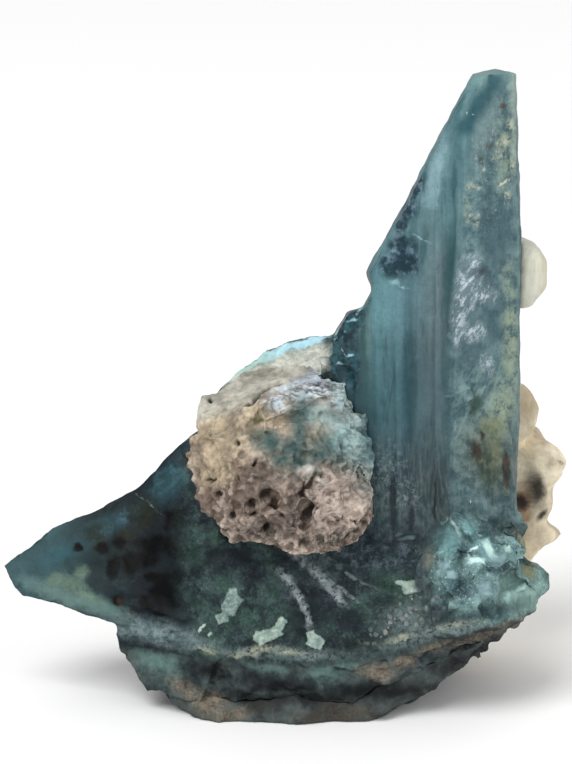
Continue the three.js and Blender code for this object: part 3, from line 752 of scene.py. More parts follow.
def crystal_height(tree):
    """The blade's striations and chips, and the broken faces, plates and keel of the rest."""
    place, inputs = tree.place, tree.inputs
    flat, ragged = tree.planes["plain"], tree.planes["ragged"]
    x, y, z = tree.parts(place)
    _, normal_y, normal_z = tree.parts(tree.normal)
    front = normal_y.rise(NOT_FRONT, FRONT)
    ragged_u, _, ragged_v = tree.parts(ragged)
    v = tree.parts(flat)[2]
    edge_x, _, edge_z = tree.parts(tree.wandering(place, 0.6, 1.5, 4.0, 0.7))
    streaked = ragged_u.rise(11.0, 12.4) * ragged_u.rise(15.4, 14.4) * 2.6
    bulge = tree.spots(flat, BULGE, 0.3) * front
    blade = (edge_z + streaked).rise(13.0, 15.0) * edge_x.rise(3.6, 4.8) * (1 - bulge)
    upright = abs(normal_z).rise(0.85, 0.55)
    right_face = right_of_ridge(x, z).rise(-0.4, 0.8)

    broad = tree.noise(tree.stretched(place, (1.0, 1.0, 0.03)), 0.75, 2.0, 0.5) - 0.5
    fine = tree.noise(tree.stretched(place, (1.0, 1.0, 0.05)), 2.6, 2.0, 0.6) - 0.5
    knots = tree.noise(place, 1.5, 4.0, 0.65) - 0.5
    warp = tree.noise(place, 0.38, 3.0, 0.55) - 0.5
    striated = (broad * 0.9 + fine * 0.35) * upright * (1 - right_face * 0.6)
    rugged = knots * (right_face * 1.3 + z.rise(26.0, 18.0) * 0.9 + 0.2) + warp * 3.0
    chips = tree.spots(ragged, CHIPS, 0.3, "tile") * front
    shells = tree.facets(place, 1.3) * 1.4 - 1.0
    blade_relief = (striated + rugged) * (1 - chips) + shells * chips

    foot = x.rise(-13.0, -9.0)
    shards = tree.facets(place, 0.42)
    small_shards = tree.facets(place, 1.1)
    worn = tree.noise(place, 0.9, 5.0, 0.6) - 0.5
    broken = (shards * 0.5 + small_shards * 0.3 + worn * 1.6) * (foot * 0.55 + 0.45) * (1 - bulge)
    broken = broken * (1 - tree.spots(flat, SLAB_TOP, 0.5) * 0.8)
    broken = broken + (shards * 1.8 + small_shards * 0.7) * bulge

    keel = above_keel(ragged_u, ragged_v)
    raised = tree.spots(ragged, KEEL, 0.6) * 0.4 + tree.spots(ragged, SEAMS, 0.5) * 0.12
    plates = tree.spots(flat, PLATES, 0.16, "tile") * 0.45
    undercut = keel.rise(-0.7, -1.8)
    rocky = (tree.facets(place, 0.5) * 0.5 + worn * 1.2 - 0.5) * undercut
    strewn = tree.cells(tree.wandering(place, 1.6, 0.2), 2.1)
    pebbles = (0.5 - strewn).most(0.0) * tree.spots(ragged, PEBBLE_BED, 0.5) * 1.1
    drawn = (raised + plates + pebbles + rocky) * front
    height = blade_relief * inputs["Striation depth"] * blade
    height = height + (broken + drawn) * inputs["Fracture depth"] * (1 - blade) - inputs["Swell"]
    low_relief = shards * 0.5 + small_shards * 0.6 + worn + shards * bulge
    relief = (broad + knots * 0.5) * blade + low_relief * (1 - blade)
    back = tree.along((1.0, 0.0, -0.6), tree.spots(flat, DRAWN_BACK, 0.5))
    apron = (y - v * APRON_LEAN + APRON_FRONT).most(0.0).least(APRON_MOST)
    forward = tree.along((0.0, -1.0, 0.0), apron * tree.spots(flat, APRON, 0.5) * front)
    return height, tree.vector("ADD", back, forward), {"relief": relief, "blade": blade}


# The striated face's columns from left to right, over this stretch across.
COLUMNS_FROM, COLUMNS_TO = 5.0, 15.0
COLUMNS = [
    (0.00, tone(44, 62, 68)), (0.13, tone(50, 72, 76)), (0.21, tone(60, 86, 86)),
    (0.30, tone(78, 114, 120)), (0.44, tone(82, 114, 120)), (0.54, tone(66, 96, 104)),
    (0.60, tone(46, 74, 82)), (0.66, tone(72, 94, 100)), (0.80, tone(86, 104, 108)),
    (0.90, tone(80, 98, 102)), (0.965, tone(54, 80, 84)), (1.00, tone(74, 96, 100)),
]


def paint_left_face(surface, colours, streak, hair):
    """The striated face: columns of colour, fibres, and the lights and shades along them."""
    blend = surface.blend
    upright = surface.stretched(surface.place, (1.0, 1.0, 0.1))
    across = surface.parts(surface.wandering(upright, 0.5, 0.5))[0]
    share = (across - COLUMNS_FROM) / (COLUMNS_TO - COLUMNS_FROM)
    high = blend(tone(74, 106, 112), tone(92, 124, 128), streak.rise(0.4, 0.64))
    face = blend(surface.ramp(share, COLUMNS), high, surface.z.rise(41.0, 47.0))
    face = blend(face, colours.deep_teal, streak.rise(0.45, 0.32) * 0.5)
    face = blend(face, colours.pale_teal, streak.rise(0.56, 0.76) * 0.25)
    face = blend(face, colours.pale_teal, hair.rise(0.56, 0.76) * 0.14)
    face = blend(face, colours.deep_teal, hair.rise(0.44, 0.26) * 0.22)
    above_step = surface.ragged_v.rise(43.5, 44.0)
    light = surface.patch((13.3, 46.6, 0.75, 3.4, -8), 0.7) * (above_step * 0.6 + 0.3)
    face = blend(face, tone(124, 154, 160), light)
    face = surface.lay(
        face,
        (tone(104, 132, 138), (13.1, 40.0, 0.7, 2.6, -4), 0.7, 0.45),
        (tone(44, 76, 80), [(14.7, 39.0, 0.4, 3.4, -4), (12.2, 39.6, 0.4, 2.4, -8)], 0.7, 0.7),
    )
    face = blend(face, tone(52, 80, 88), surface.z.rise(36.0, 31.0) * 0.35)
    return surface.lay(
        face,
        (tone(94, 138, 144), (8.9, 35.6, 1.1, 2.0, -10), 0.8, 0.6),
        (tone(110, 144, 152), (10.6, 35.4, 2.0, 2.8, -6), 0.9, 0.35),
        (tone(40, 64, 72), [(11.1, 28.4, 0.4, 5.0, 0), (7.6, 24.0, 1.4, 3.0, 0)], 0.7, 0.6),
    )


def paint_right_face(surface, colours, hair):
    """The patchy face: slate and mossy cream, a cottony spray, crumbs, and rust near its foot."""
    patch, blend, mottle, speck = surface.patch, surface.blend, surface.mottle, surface.speck
    face = blend(tone(66, 92, 98), tone(100, 124, 126), mottle.rise(0.38, 0.64))
    face = surface.lay(face, (tone(112, 132, 132), (17.4, 51.0, 1.4, 3.4, -12), 0.7, 0.6))
    face = blend(face, colours.pale_teal, hair.rise(0.54, 0.7) * 0.25)
    face = surface.lay(face, (tone(62, 84, 92), SLATE, 0.6, 0.7))
    mossy = (patch(THICK_MOSS, 0.8), patch(THIN_MOSS, 0.8))
    mossy = (mossy[0] * 0.75).most(mossy[1] * 0.45)
    face = blend(face, tone(142, 154, 130), mossy * mottle.rise(0.34, 0.56))

    slanted = surface.stretched(surface.turned(surface.place, "Y_AXIS", -0.6), (1.0, 1.0, 0.4))
    cotton = patch(COTTON, 0.9)
    face = blend(face, tone(112, 130, 136), cotton * 0.6)
    flecks = surface.noise(surface.wandering(slanted, 1.4, 0.2, 2.0), 1.9, 5.0, 0.8).rise(0.46, 0.62)
    face = blend(face, tone(188, 200, 206), cotton * flecks * 0.9)
    face = blend(face, tone(176, 180, 158), patch(CREAM_SPECKS, 0.9) * (mottle + speck).rise(0.8, 1.05) * 0.8)
    swept = surface.stretched(surface.turned(surface.place, "Y_AXIS", -0.55), (1.0, 1.0, 0.12))
    feather = surface.noise(swept, 1.5, 3.0, 0.65)
    earth = blend(tone(44, 48, 38), tone(104, 104, 82), mottle.rise(0.36, 0.62))
    face = surface.lay(
        face,
        (tone(58, 56, 50), DARK_SPECKS, 0.8, 0.6),
        (tone(196, 196, 178), (19.6, 46.0, 1.0, 0.14, 30), 0.4, 0.85),
        (tone(176, 178, 162), (18.0, 47.0, 2.2, 4.6, 0), 0.6, 0.5, (speck, 0.6, 0.68)),
        (tone(76, 66, 52), (19.5, 52.9, 0.5, 0.25, 0), 0.5, 0.85),
        (tone(126, 152, 148), FEATHERS, 0.7, 0.65, (feather, 0.46, 0.62)),
        (tone(50, 72, 60), [(18.4, 20.4, 0.9, 2.2, 0), (17.2, 26.0, 0.6, 1.0, -20)], 0.5, 0.8),
        (tone(120, 128, 96), [(18.8, 24.0, 1.0, 0.8, 0), (19.2, 22.0, 0.4, 1.4, 0)], 0.6, 0.6),
        (earth, [(17.6, 21.8, 1.8, 2.6, 0), (19.6, 20.4, 1.4, 3.0, 0)], 0.9, 0.6),
        (tone(40, 35, 30), RUST_SHELLS, 0.4, 0.8),
        (tone(84, 58, 42), RUST_CORES, 0.7, 0.75, (mottle, 0.32, 0.54)),
    )
    far_edge = surface.u.rise(20.6, 21.1) * surface.normal_x.rise(0.9, 0.5)
    return blend(face, tone(130, 156, 146), far_edge * 0.5)


def paint_blade(surface, colours):
    """The blade: striated left face, patchy right face, and a darker, browner foot, with painted shade at its
    foot and beside the lump, a painted glint near the tip and painted light on faces turned up.
    """
    patch, blend = surface.patch, surface.blend
    streak = surface.noise(surface.stretched(surface.place, (1.0, 1.0, 0.035)), 0.95, 3.0, 0.6)
    hair = surface.noise(surface.stretched(surface.place, (1.0, 1.0, 0.08)), 3.6, 3.0, 0.65)
    right_face = right_of_ridge(surface.x, surface.z).rise(-0.5, 0.7)
    left = paint_left_face(surface, colours, streak, hair)
    face = blend(left, paint_right_face(surface, colours, hair), right_face)
    # darker low on the blade: partly its own darker colour, partly painted shadow of the lump beside it
    low_tone_and_shade = blend(tone(34, 44, 48), tone(78, 84, 82), hair.rise(0.36, 0.68))
    low = surface.z.rise(29.0, 21.0) * (1 - right_face * 0.7)
    face = blend(face, low_tone_and_shade, low * 0.75)
    # painted shade: the blade's foot and its shelf are darkened to a dull mottled tone
    shaded_foot = surface.ragged_v.rise(17.0, 13.5) * (1 - patch((12.6, 12.6, 1.0, 4.0, 0), 0.7))
    foot_shade_mottle = surface.noise(surface.place, 1.3, 5.0, 0.8)
    foot_shade_colour = blend(tone(32, 45, 50), tone(88, 101, 107), foot_shade_mottle.rise(0.44, 0.66))
    face = blend(face, foot_shade_colour, shaded_foot * 0.85)
    crust = surface.noise(surface.place, 2.2, 5.0, 0.8)
    face = surface.lay(
        face,
        # painted shade: the shelf at the blade's foot is darkened where it turns up to the light
        (tone(22, 32, 38), (10.0, 14.3, 5.0, 1.8, 0), 0.5, 0.8, (surface.normal_z, 0.3, 0.6)),
        (tone(130, 164, 162), (18.2, 56.4, 2.6, 1.8, 0), 0.8, 0.75),
        (tone(122, 136, 140), FOOT_CRUST, 0.7, 0.7, (crust, 0.45, 0.66)),
        (tone(26, 32, 36), FOOT_CRACKS, 0.5, 0.75),
    )
    face = blend(face, tone(200, 214, 214), patch(FOOT_GLINTS, 0.3, "plain"))
    face = surface.lay(
        face,
        (tone(36, 74, 82), TIP_BAND, 0.7, 0.85),
        # painted glint: a thin pale streak of reflected light near the tip
        (tone(140, 164, 164), (16.3, 52.2, 0.5, 0.13, -8), 0.4, 0.8),
        (tone(156, 172, 158), [(20.6, 54.0, 0.5, 2.4, 0), (20.6, 49.0, 0.3, 2.0, 0)], 0.7, 0.6),
    )
    # painted light: faces turned up are lightened
    return blend(face, tone(118, 142, 140), surface.normal_z.rise(0.6, 0.85) * 0.4)


def paint_wing(surface):
    """The wing: dark towards the lump, partly its own colour and partly painted shadow of the lump, with a
    rim lightened as painted light, painted highlights, black inclusions and a green skin.
    """
    blend, mottle, across = surface.blend, surface.mottle, surface.ragged_u
    wing = blend(tone(33, 45, 48), tone(56, 80, 84), across.rise(-17.0, -22.5))
    # darker towards the lump: partly the wing's own colour, partly painted shadow of the lump
    wing = blend(wing, tone(20, 26, 32), across.rise(-17.4, -12.6) * 0.92)
    wing = blend(wing, tone(52, 72, 74), mottle.rise(0.5, 0.7) * across.rise(-10.0, -16.0) * 0.4)
    inclusion = blend(tone(4, 5, 6), tone(14, 12, 10), mottle.rise(0.5, 0.68))
    wing = surface.lay(
        wing,
        # painted light along the wing's upper rim
        (tone(50, 82, 90), WING_RIM_LIGHT, 0.8, 0.75),
        # painted soft highlights on the wing's gloss
        (tone(78, 116, 128), WING_HIGHLIGHTS, 0.8, 0.6, (mottle, 0.4, 0.64)),
        (tone(34, 38, 28), STAINS, 0.6, 0.85, (mottle, 0.36, 0.52)),
        (tone(98, 124, 120), [(-20.6, 8.4, 3.4, 0.8, -22), (-17.4, 7.6, 3.0, 0.9, -24)], 0.7, 0.85),
        (tone(92, 112, 98), GREEN_SKIN, 0.5, 0.75, (mottle, 0.3, 0.56)),
        (tone(100, 124, 124), (-12.7, 17.0, 1.7, 0.1, -36), 0.5, 0.6),
        (tone(18, 20, 20), BLOTCHES, 1.2, 0.5),
        (inclusion, BLOTCHES, 0.35, 0.97),
        (tone(58, 42, 30), WING_RUST, 0.5, 0.75),
    )
    behind = surface.chance(surface.wandering(surface.place, 0.9, 0.6), 0.5).rise(0.7, 0.74)
    return blend(wing, inclusion, behind * (1 - surface.front) * 0.6)


def paint_foot(surface):
    """The foot: cloudy dark green under pale dust, with fanned seams and a cream-edged keel with a painted
    highlight along it.
    """
    patch, blend, mottle, speck = surface.patch, surface.blend, surface.mottle, surface.speck
    place = surface.place
    cloud = surface.noise(place, 0.33, 4.0, 0.65)
    foot = blend(tone(36, 47, 51), tone(58, 76, 73), mottle.rise(0.4, 0.62))
    foot = blend(foot, tone(50, 76, 64), cloud.rise(0.5, 0.62) * 0.55)
    foot = blend(foot, tone(27, 32, 38), cloud.rise(0.48, 0.36) * 0.75)
    foot = surface.lay(
        foot,
        (tone(23, 28, 36), FOOT_SHADE, 0.6, 0.8),
        (tone(66, 94, 92), (-14.0, 8.0, 2.2, 1.4, -20), 0.6, 0.5),
    )
    dust = surface.noise(surface.wandering(place, 2.0, 0.3), 3.6, 5.0, 0.85).rise(0.52, 0.68)
    dust = dust * mottle.rise(0.38, 0.56) * (1 - patch(FOOT_SHADE, 0.8) * 0.6)
    foot = blend(foot, tone(104, 124, 124), dust * 0.6)
    foot = blend(foot, tone(18, 23, 27), speck.rise(0.44, 0.32) * 0.6)
    feather = surface.noise(surface.wandering(place, 0.9, 0.5), 2.4, 5.0, 0.8)
    foot = surface.lay(
        foot,
        (tone(18, 25, 28), [(7.0, 4.3, 3.6, 0.9, 6), (1.0, 6.8, 1.2, 2.0, 0)], 0.9, 0.7),
        (tone(96, 108, 116), SEAM_HAZE, 1.0, 0.65, (feather, 0.4, 0.6)),
        (tone(160, 170, 174), SEAMS, 0.9, 0.9, (feather, 0.36, 0.56)),
        (tone(134, 148, 150), HAIRLINES, 0.8, 0.85, (feather, 0.32, 0.5)),
        (tone(112, 126, 126), (11.4, 6.6, 2.6, 1.5, 20), 0.9, 0.6, (feather, 0.36, 0.56)),
    )
    # painted highlight along the keel's ridge, broken by the feathery pattern
    ridge = patch(KEEL, 0.7) * (1 - patch((7.2, 3.8, 3.4, 1.4, 8), 0.8) * 0.75)
    foot = blend(foot, tone(112, 126, 126), ridge * feather.rise(0.36, 0.56) * 0.85)
    return surface.lay(foot, (tone(160, 164, 144), KEEL_CREAM, 0.8, 0.85, (feather, 0.36, 0.6)))


def paint_pebbles(surface, base):
    """Small pale crystals strewn where the foot meets the bulge, and a few elsewhere."""
    strewn = surface.wandering(surface.place, 1.6, 0.2)
    size = surface.cells(strewn, 2.1)
    pick, _, warmth = surface.parts(surface.cells(strewn, 2.1, output="Color"))
    pebble = surface.blend(tone(118, 128, 134), tone(160, 154, 136), warmth)
    bed = surface.patch(PEBBLE_BED, 0.8)
    shown = size.rise(0.5, 0.38) * pick.rise(0.3, 0.4) * bed
    return surface.blend(base, pebble, shown * 0.8)


def paint_bulge(surface, base):
    """The bulge of broken crystals at the right, with its pale faces, painted highlights on its facets,
    painted shade in its hollows and a stained rim.
    """
    patch, blend, mottle, speck = surface.patch, surface.blend, surface.mottle, surface.speck
    glint = surface.chance(surface.place, 0.42)
    broken = blend(tone(58, 88, 92), tone(134, 164, 162), glint * 0.5 + mottle.rise(0.38, 0.66) * 0.5)
    broken = blend(broken, tone(50, 82, 76), mottle.rise(0.46, 0.34) * 0.55)
    broken = blend(broken, tone(184, 206, 206), speck.rise(0.58, 0.68) * 0.55)
    face = surface.lay(
        base,
        (broken, BULGE, 0.25, 0.95),
        (tone(148, 180, 172), (21.8, 8.9, 2.0, 2.0, 0), 0.8, 0.75),
        # painted shade in the bulge's hollows
        (tone(44, 62, 74), BULGE_SHADE, 0.8, 0.8, (speck, 0.66, 0.5)),
    )
    face = blend(face, tone(138, 164, 170), patch(PALE_FACES, 0.4, "crisp", "tile") * 0.75)
    face = blend(face, tone(112, 154, 156), patch(PEAKS, 0.5, "crisp") * 0.55)
    # painted highlights on the bulge's facets
    face = blend(face, tone(198, 230, 224), patch(BULGE_HIGHLIGHTS, 0.5, "crisp", "tile") * 0.85)
    return surface.lay(
        face,
        (tone(158, 156, 140), [(12.6, 12.1, 0.5, 0.9, -10), (20.6, 14.6, 0.3, 0.3, 0)], 0.7, 0.8),
        (tone(170, 160, 112), [(22.6, 11.0, 0.4, 0.8, 14), (21.5, 13.7, 0.22, 1.0, 35)], 0.8, 0.75),
        (tone(32, 48, 52), [(18.4, 7.3, 3.4, 0.6, 9), (14.0, 6.9, 1.8, 0.7, 10)], 0.9, 0.8),
    )


# ------------------------------------------------------------------ below the keel
# The crystals and the feldspar meet raggedly here, and both are painted alike.

# painted shadow in the hollows under the keel
UNDER_SHADOW = [
    (9.0, -0.2, 6.6, 0.75, 4), (17.0, 3.0, 4.0, 0.6, 24), (-1.0, 0.3, 3.4, 0.9, -6),
    (-6.6, 1.6, 2.4, 0.8, -12), (2.0, -1.0, 5.0, 0.5, 0), (-3.8, -0.8, 1.6, 0.7, -20),
]
UNDER_TEAL = [
    (3.4, 1.5, 1.5, 0.9, 0), (-11.9, 2.6, 1.9, 1.4, -20), (5.6, 2.4, 1.3, 0.5, 0), (-1.6, 2.0, 1.4, 0.4, 0),
]
UNDER_STONE = [
    (8.2, 1.6, 1.5, 0.7, -12), (10.7, 2.4, 1.0, 0.6, 10), (-9.4, -0.1, 1.5, 0.6, -35),
    (-7.2, -1.4, 2.0, 0.9, -25), (-5.0, -2.3, 1.6, 0.5, 10), (4.6, -2.3, 2.8, 0.55, 4),
    (17.4, 4.7, 3.0, 0.4, 18), (13.4, 4.2, 1.8, 0.3, 16), (20.6, 6.6, 1.4, 0.5, 25),
]


def paint_undercut(surface, base):
    """What turns under below the keel: painted shade on the underside, painted shadow in its hollows, teal,
    bared stone and a fibrous band.
    """
    patch, blend, mottle, speck = surface.patch, surface.blend, surface.mottle, surface.speck
    below = above_keel(surface.ragged_u, surface.ragged_v).rise(-0.3, -1.2) * surface.front
    rough = surface.noise(surface.place, 0.55, 5.0, 0.7)
    # painted shade over everything that turns under below the keel
    underside_shade = blend(tone(40, 48, 51), tone(80, 92, 90), rough.rise(0.34, 0.66))
    face = blend(base, underside_shade, below * 0.95)
    face = blend(face, tone(92, 120, 116), patch(UNDER_TEAL, 0.9) * below * rough.rise(0.26, 0.56) * 0.85)
    # painted shadow in the hollows under the keel
    face = blend(face, tone(15, 16, 18), patch(UNDER_SHADOW, 0.8) * below * rough.rise(0.8, 0.56) * 0.95)
    stone = patch(UNDER_STONE, 0.9) * below * mottle.rise(0.26, 0.5)
    face = blend(face, blend(tone(96, 88, 78), tone(130, 118, 102), speck.rise(0.36, 0.6)), stone * 0.8)
    fibrous = surface.noise(surface.stretched(surface.place, (0.3, 1.0, 1.2)), 2.0, 4.0, 0.75)
    # painted shade along the bottom edge, where it turns under
    rim = patch([(4.6, -2.3, 3.4, 1.1, 4), (-2.0, -1.6, 2.0, 0.6, 0)], 0.9) * below
    face = blend(face, tone(34, 34, 33), rim * 0.75)
    band = patch((-12.2, 5.2, 3.6, 1.0, -10), 0.7) * fibrous.rise(0.22, 0.5)
    return blend(face, blend(tone(84, 102, 104), tone(122, 140, 142), mottle.rise(0.4, 0.6)), band * 0.85)


def paint_crystals(colours):
    """All the grandidierite: blade, wing, foot, plates, bulge, breaks and the slab's bleached top."""
    surface = Surface("Grandidierite")
    patch, blend, place = surface.patch, surface.blend, surface.place
    mottle, speck = surface.mottle, surface.speck
    blade, relief = surface.kept("blade"), surface.kept("relief")

    low = blend(paint_foot(surface), paint_wing(surface), surface.x.rise(-7.5, -11.0))
    plates = patch(PLATES, 0.14, "crisp", "tile")
    frost = blend(tone(112, 134, 128), tone(172, 190, 178), mottle.rise(0.34, 0.64))
    frost = surface.lay(frost, (tone(84, 106, 110), (-5.3, 7.7, 1.6, 2.0, 0), 0.5, 0.6, (speck, 0.4, 0.6)))
    low = blend(low, frost, plates * 0.9)
    low = paint_bulge(surface, paint_pebbles(surface, low))
    low = paint_undercut(surface, low)
    # painted shade: faces turned down are darkened
    low = blend(low, tone(32, 36, 38), surface.normal_z.rise(-0.4, -0.75) * 0.8)
    base = blend(low, paint_blade(surface, colours), blade)

    # clear dark breaks with slivers of light in them, and the clear lath behind the lump
    chips, splinters = patch(CHIPS, 0.4), patch(SPLINTERS, 0.3)
    clear = chips.most(splinters)
    bloom = surface.noise(place, 1.1, 4.0, 0.7)
    lilac = blend(tone(24, 44, 54), tone(104, 128, 142), bloom.rise(0.42, 0.7))
    depth = blend(lilac, blend(tone(14, 34, 42), tone(40, 84, 92), bloom.rise(0.4, 0.66)), splinters)
    base = blend(base, depth, clear * 0.92)
    base = blend(base, tone(156, 192, 204), patch(SPLINTER_GLINTS, 0.6, "crisp") * 0.8)
    base = blend(base, tone(140, 176, 182), patch(CHIP_GLINTS, 0.6, "crisp", "tile") * 0.8)

    slab = patch(SLAB_TOP, 0.4)
    leaning = surface.turned(place, "Y_AXIS", -0.36)
    silk = surface.noise(surface.stretched(leaning, (0.2, 0.5, 1.2)), 1.6, 4.0, 0.7)
    creamy = blend(tone(164, 170, 160), tone(206, 208, 196), silk.rise(0.36, 0.6))
    base = blend(base, creamy, slab * (1 - blade) * (1 - splinters) * 0.95)
    # the lath's pale blue colour, with painted light on its upper ridge
    lath = patch(LIT_CLEAR_LATH, 0.35)
    lath_colour_and_light = blend(tone(166, 200, 192), tone(172, 214, 226), surface.u.rise(-4.0, 0.5))
    base = blend(base, lath_colour_and_light, lath * (1 - blade) * (1 - splinters) * 0.92)

    shade = relief.rise(-0.8, 0.8) * 0.4 + (mottle - 0.5) * 0.5 + (speck - 0.5) * 0.4 + 0.78
    base = surface.scaled(base, shade + (1 - shade) * plates * 0.8)
    roughness = 0.5 + (mottle - 0.5) * 0.3 - clear * 0.15
    bump = (speck * 0.6 + mottle * 0.4) * (1 - plates * 0.7)
    return surface.finish(
        base, roughness, bump, 0.07, splinters * 0.4, Coat_Roughness=0.2, IOR=1.5, Specular_IOR_Level=0.08
    )


# ------------------------------------------------------------------ front lump

# The smooth slab along the top: its lower edge's height in the middle, and how it climbs to the right.
SLAB_FOOT, SLAB_CLIMB = 27.5, 0.38
OUTLINE = ((-0.6, 0.0, 21.2), 8.8, 8.7)  # the lump's rounded lower outline: middle and reaches
CALM = [(-5.8, 23.6, 3.0, 2.8, 20), (3.0, 24.4, 4.4, 2.4, 0)]
PITS = [
    (-2.0, 17.9, 0.6, 0.45, 30), (-3.2, 17.1, 0.42, 0.42, 0), (-1.4, 17.2, 0.3, 0.6, -20),
    (-3.0, 16.3, 0.3, 0.35, 0), (-7.1, 19.4, 0.5, 0.18, 10), (-4.6, 19.6, 0.18, 0.22, 0),
    (-6.3, 18.1, 0.3, 0.25, 0), (-4.5, 22.8, 0.22, 0.16, 0), (-7.0, 26.7, 0.2, 0.26, 0),
    (-5.0, 16.0, 0.35, 0.35, 0), (-0.6, 16.0, 0.25, 0.25, 0), (-2.8, 20.8, 0.25, 0.3, 0),
    (0.9, 15.2, 0.3, 0.3, 0), (-1.9, 14.8, 0.3, 0.35, 0),
]
CREVICE = [(2.3, 19.3, 0.18, 0.8, -25), (1.6, 18.0, 0.25, 0.8, 0), (1.8, 16.6, 0.2, 0.9, 0)]
CRACK = [(4.8, 16.1, 0.7, 0.12, -14), (6.3, 15.5, 0.7, 0.1, -30)]
FISSURE = [
    (-2.9, 26.9, 0.22, 0.6, -32), (-2.1, 27.7, 0.7, 0.15, 24), (-1.0, 28.1, 0.6, 0.1, 22),
    (-3.5, 26.3, 0.35, 0.14, 10),
]
GREEN_PATCHES = [
    (1.3, 25.4, 0.9, 1.3, -15), (-1.6, 22.8, 1.1, 0.7, 0), (0.7, 22.2, 1.3, 0.9, 0),
    (4.2, 22.3, 1.9, 1.1, -14), (1.2, 23.8, 0.6, 1.2, 0), (1.2, 20.9, 1.2, 0.7, -30),
    (2.9, 21.7, 1.2, 0.5, 0), (-0.4, 21.2, 0.8, 0.5, 0),
]
CLEAR_EDGE = [(7.0, 23.6, 1.7, 3.8, 8), (5.8, 27.2, 1.5, 1.8, 30)]
QUARTZ = [
    (-0.9, 26.4, 0.8, 0.9, 20), (1.6, 27.2, 2.4, 0.45, 12), (4.0, 27.6, 1.8, 0.45, 18),
    (0.2, 27.9, 1.4, 0.3, 20), (4.8, 26.2, 0.9, 0.5, -30), (3.4, 29.2, 1.6, 0.5, 24),
]
KNOB = (4.5, 17.0, 2.6, 3.2, 0)
# partly the knob's pale colour, partly painted highlight on its crest
KNOB_CREST_LIGHT = [(1.8, 20.2, 0.9, 0.4, 14), (3.4, 19.4, 0.6, 0.3, 0)]
# painted shade on the lump's lower left
LUMP_SHADE = [(-6.4, 18.0, 2.6, 2.2, 0), (-4.4, 20.0, 2.4, 1.4, 0)]
CREAMY = [(-5.8, 23.6, 3.2, 2.8, 20), (-6.8, 20.8, 1.8, 2.0, 0), (-2.6, 25.0, 2.4, 1.2, 20)]
# partly the cream colour, partly painted highlight on the crests
CREAM_CREST_LIGHT = [(-3.1, 25.7, 0.8, 0.5, 10), (-6.6, 24.8, 0.8, 0.8, 0)]
GREYISH = [(-1.2, 23.4, 2.6, 1.8, 0), (0.0, 20.4, 1.8, 1.2, 0)]
TAN_SPOTS = [(3.1, 24.2, 0.9, 1.3, 0), (-0.3, 24.6, 0.7, 1.2, 0)]
# painted lilac shade in the quartz along the lump's top
QUARTZ_SHADE = [(2.4, 28.6, 1.8, 0.8, 12), (4.4, 28.6, 1.2, 0.6, 20)]
LIT_GREEN = [(3.6, 25.0, 1.6, 0.9, -20), (5.2, 23.6, 1.0, 1.2, -20)]
# painted shade on the lump's lower part
LUMP_LOW_SHADE = [
    (-1.0, 15.0, 4.0, 0.9, 8), (0.9, 18.4, 0.8, 2.0, 0), (-2.4, 19.0, 2.0, 1.2, 20),
    (0.4, 16.4, 1.2, 1.8, 0),
]
MOSS = [(3.8, 14.0, 2.4, 0.5, 8), (6.2, 14.4, 0.9, 0.5, 20), (-1.6, 14.4, 1.4, 0.4, 0)]
BROWN_SPOTS = [(-1.9, 27.1, 0.8, 0.4, 20), (-1.2, 17.6, 0.8, 0.8, 0)]


def on_slab(u, v):
    """1 on the smooth slab along the lump's top, 0 below it."""
    return (v - u * SLAB_CLIMB).rise(SLAB_FOOT - 0.7, SLAB_FOOT + 0.9)


def lump_height(tree):
    """The lump's crumbs and pits, its smooth slab, and the rim that is drawn in."""
    place = tree.place
    flat, ragged, plane = tree.planes["plain"], tree.planes["ragged"], tree.planes["crisp"]
    loose = tree.wandering(place, 0.6, 0.35)
    front = tree.parts(tree.normal)[1].rise(NOT_FRONT, FRONT)
    u, _, v = tree.parts(plane)
    slab = on_slab(u, v)
    calm = slab.most(tree.spots(ragged, CALM, 0.5) * 0.65)
    crumbs, small_crumbs = tree.pebbled(loose, 0.75), tree.pebbled(loose, 1.9)
    chipped = tree.facets(loose, 1.4)
    fine = tree.noise(place, 1.6, 4.0, 0.65) - 0.5
    broad = tree.noise(place, 0.4, 3.0, 0.5) - 0.5
    pocks = tree.noise(tree.wandering(place, 1.0, 0.3), 0.9, 3.0, 0.6).rise(0.62, 0.76) * (1 - calm)
    carved = tree.spots(ragged, PITS, 0.7) * 1.5 + tree.spots(plane, CREVICE + CRACK, 0.6) * 1.3
    carved = carved + tree.spots(plane, FISSURE, 0.4) * 1.4
    leaning = tree.turned(place, "Y_AXIS", -math.radians(22))
    bedding = tree.noise(tree.stretched(leaning, (0.2, 0.6, 1.0)), 1.0, 2.0, 0.5) - 0.5
    tiny = tree.pebbled(loose, 3.4)
    rough = crumbs * 0.9 + small_crumbs * 0.8 + tiny * 0.35 + chipped * 0.35 + fine * 1.3
    height = rough * (1 - calm * 0.8) + bedding * slab * 0.5 + broad * 1.4 - 0.6
    height = height - pocks * 0.8 - carved * front
    relief = crumbs * 0.7 + small_crumbs * 1.2 + tiny * 0.8 + chipped * 0.4 + fine * 1.3
    kept = {"relief": relief * (1 - calm * 0.5), "pocks": pocks, "slab": slab}
    # what stands out past a rounded outline, low down and at the right, is drawn in
    middle, reach_across, reach_up = OUTLINE
    away = tree.vector("SUBTRACT", flat, middle)
    away = tree.stretched(away, (1 / reach_across, 0.0, 1 / reach_up))
    beyond = (tree.vector("LENGTH", away, output=1) - 1).most(0.0) * v.rise(26.0, 20.0)
    pull = (u.rise(5.0, 0.0) * 0.35 + 0.45) * reach_up
    shift = tree.scaled(tree.vector("NORMALIZE", away), beyond * pull * -1.0)
    return height * tree.inputs["Grain depth"], shift, kept


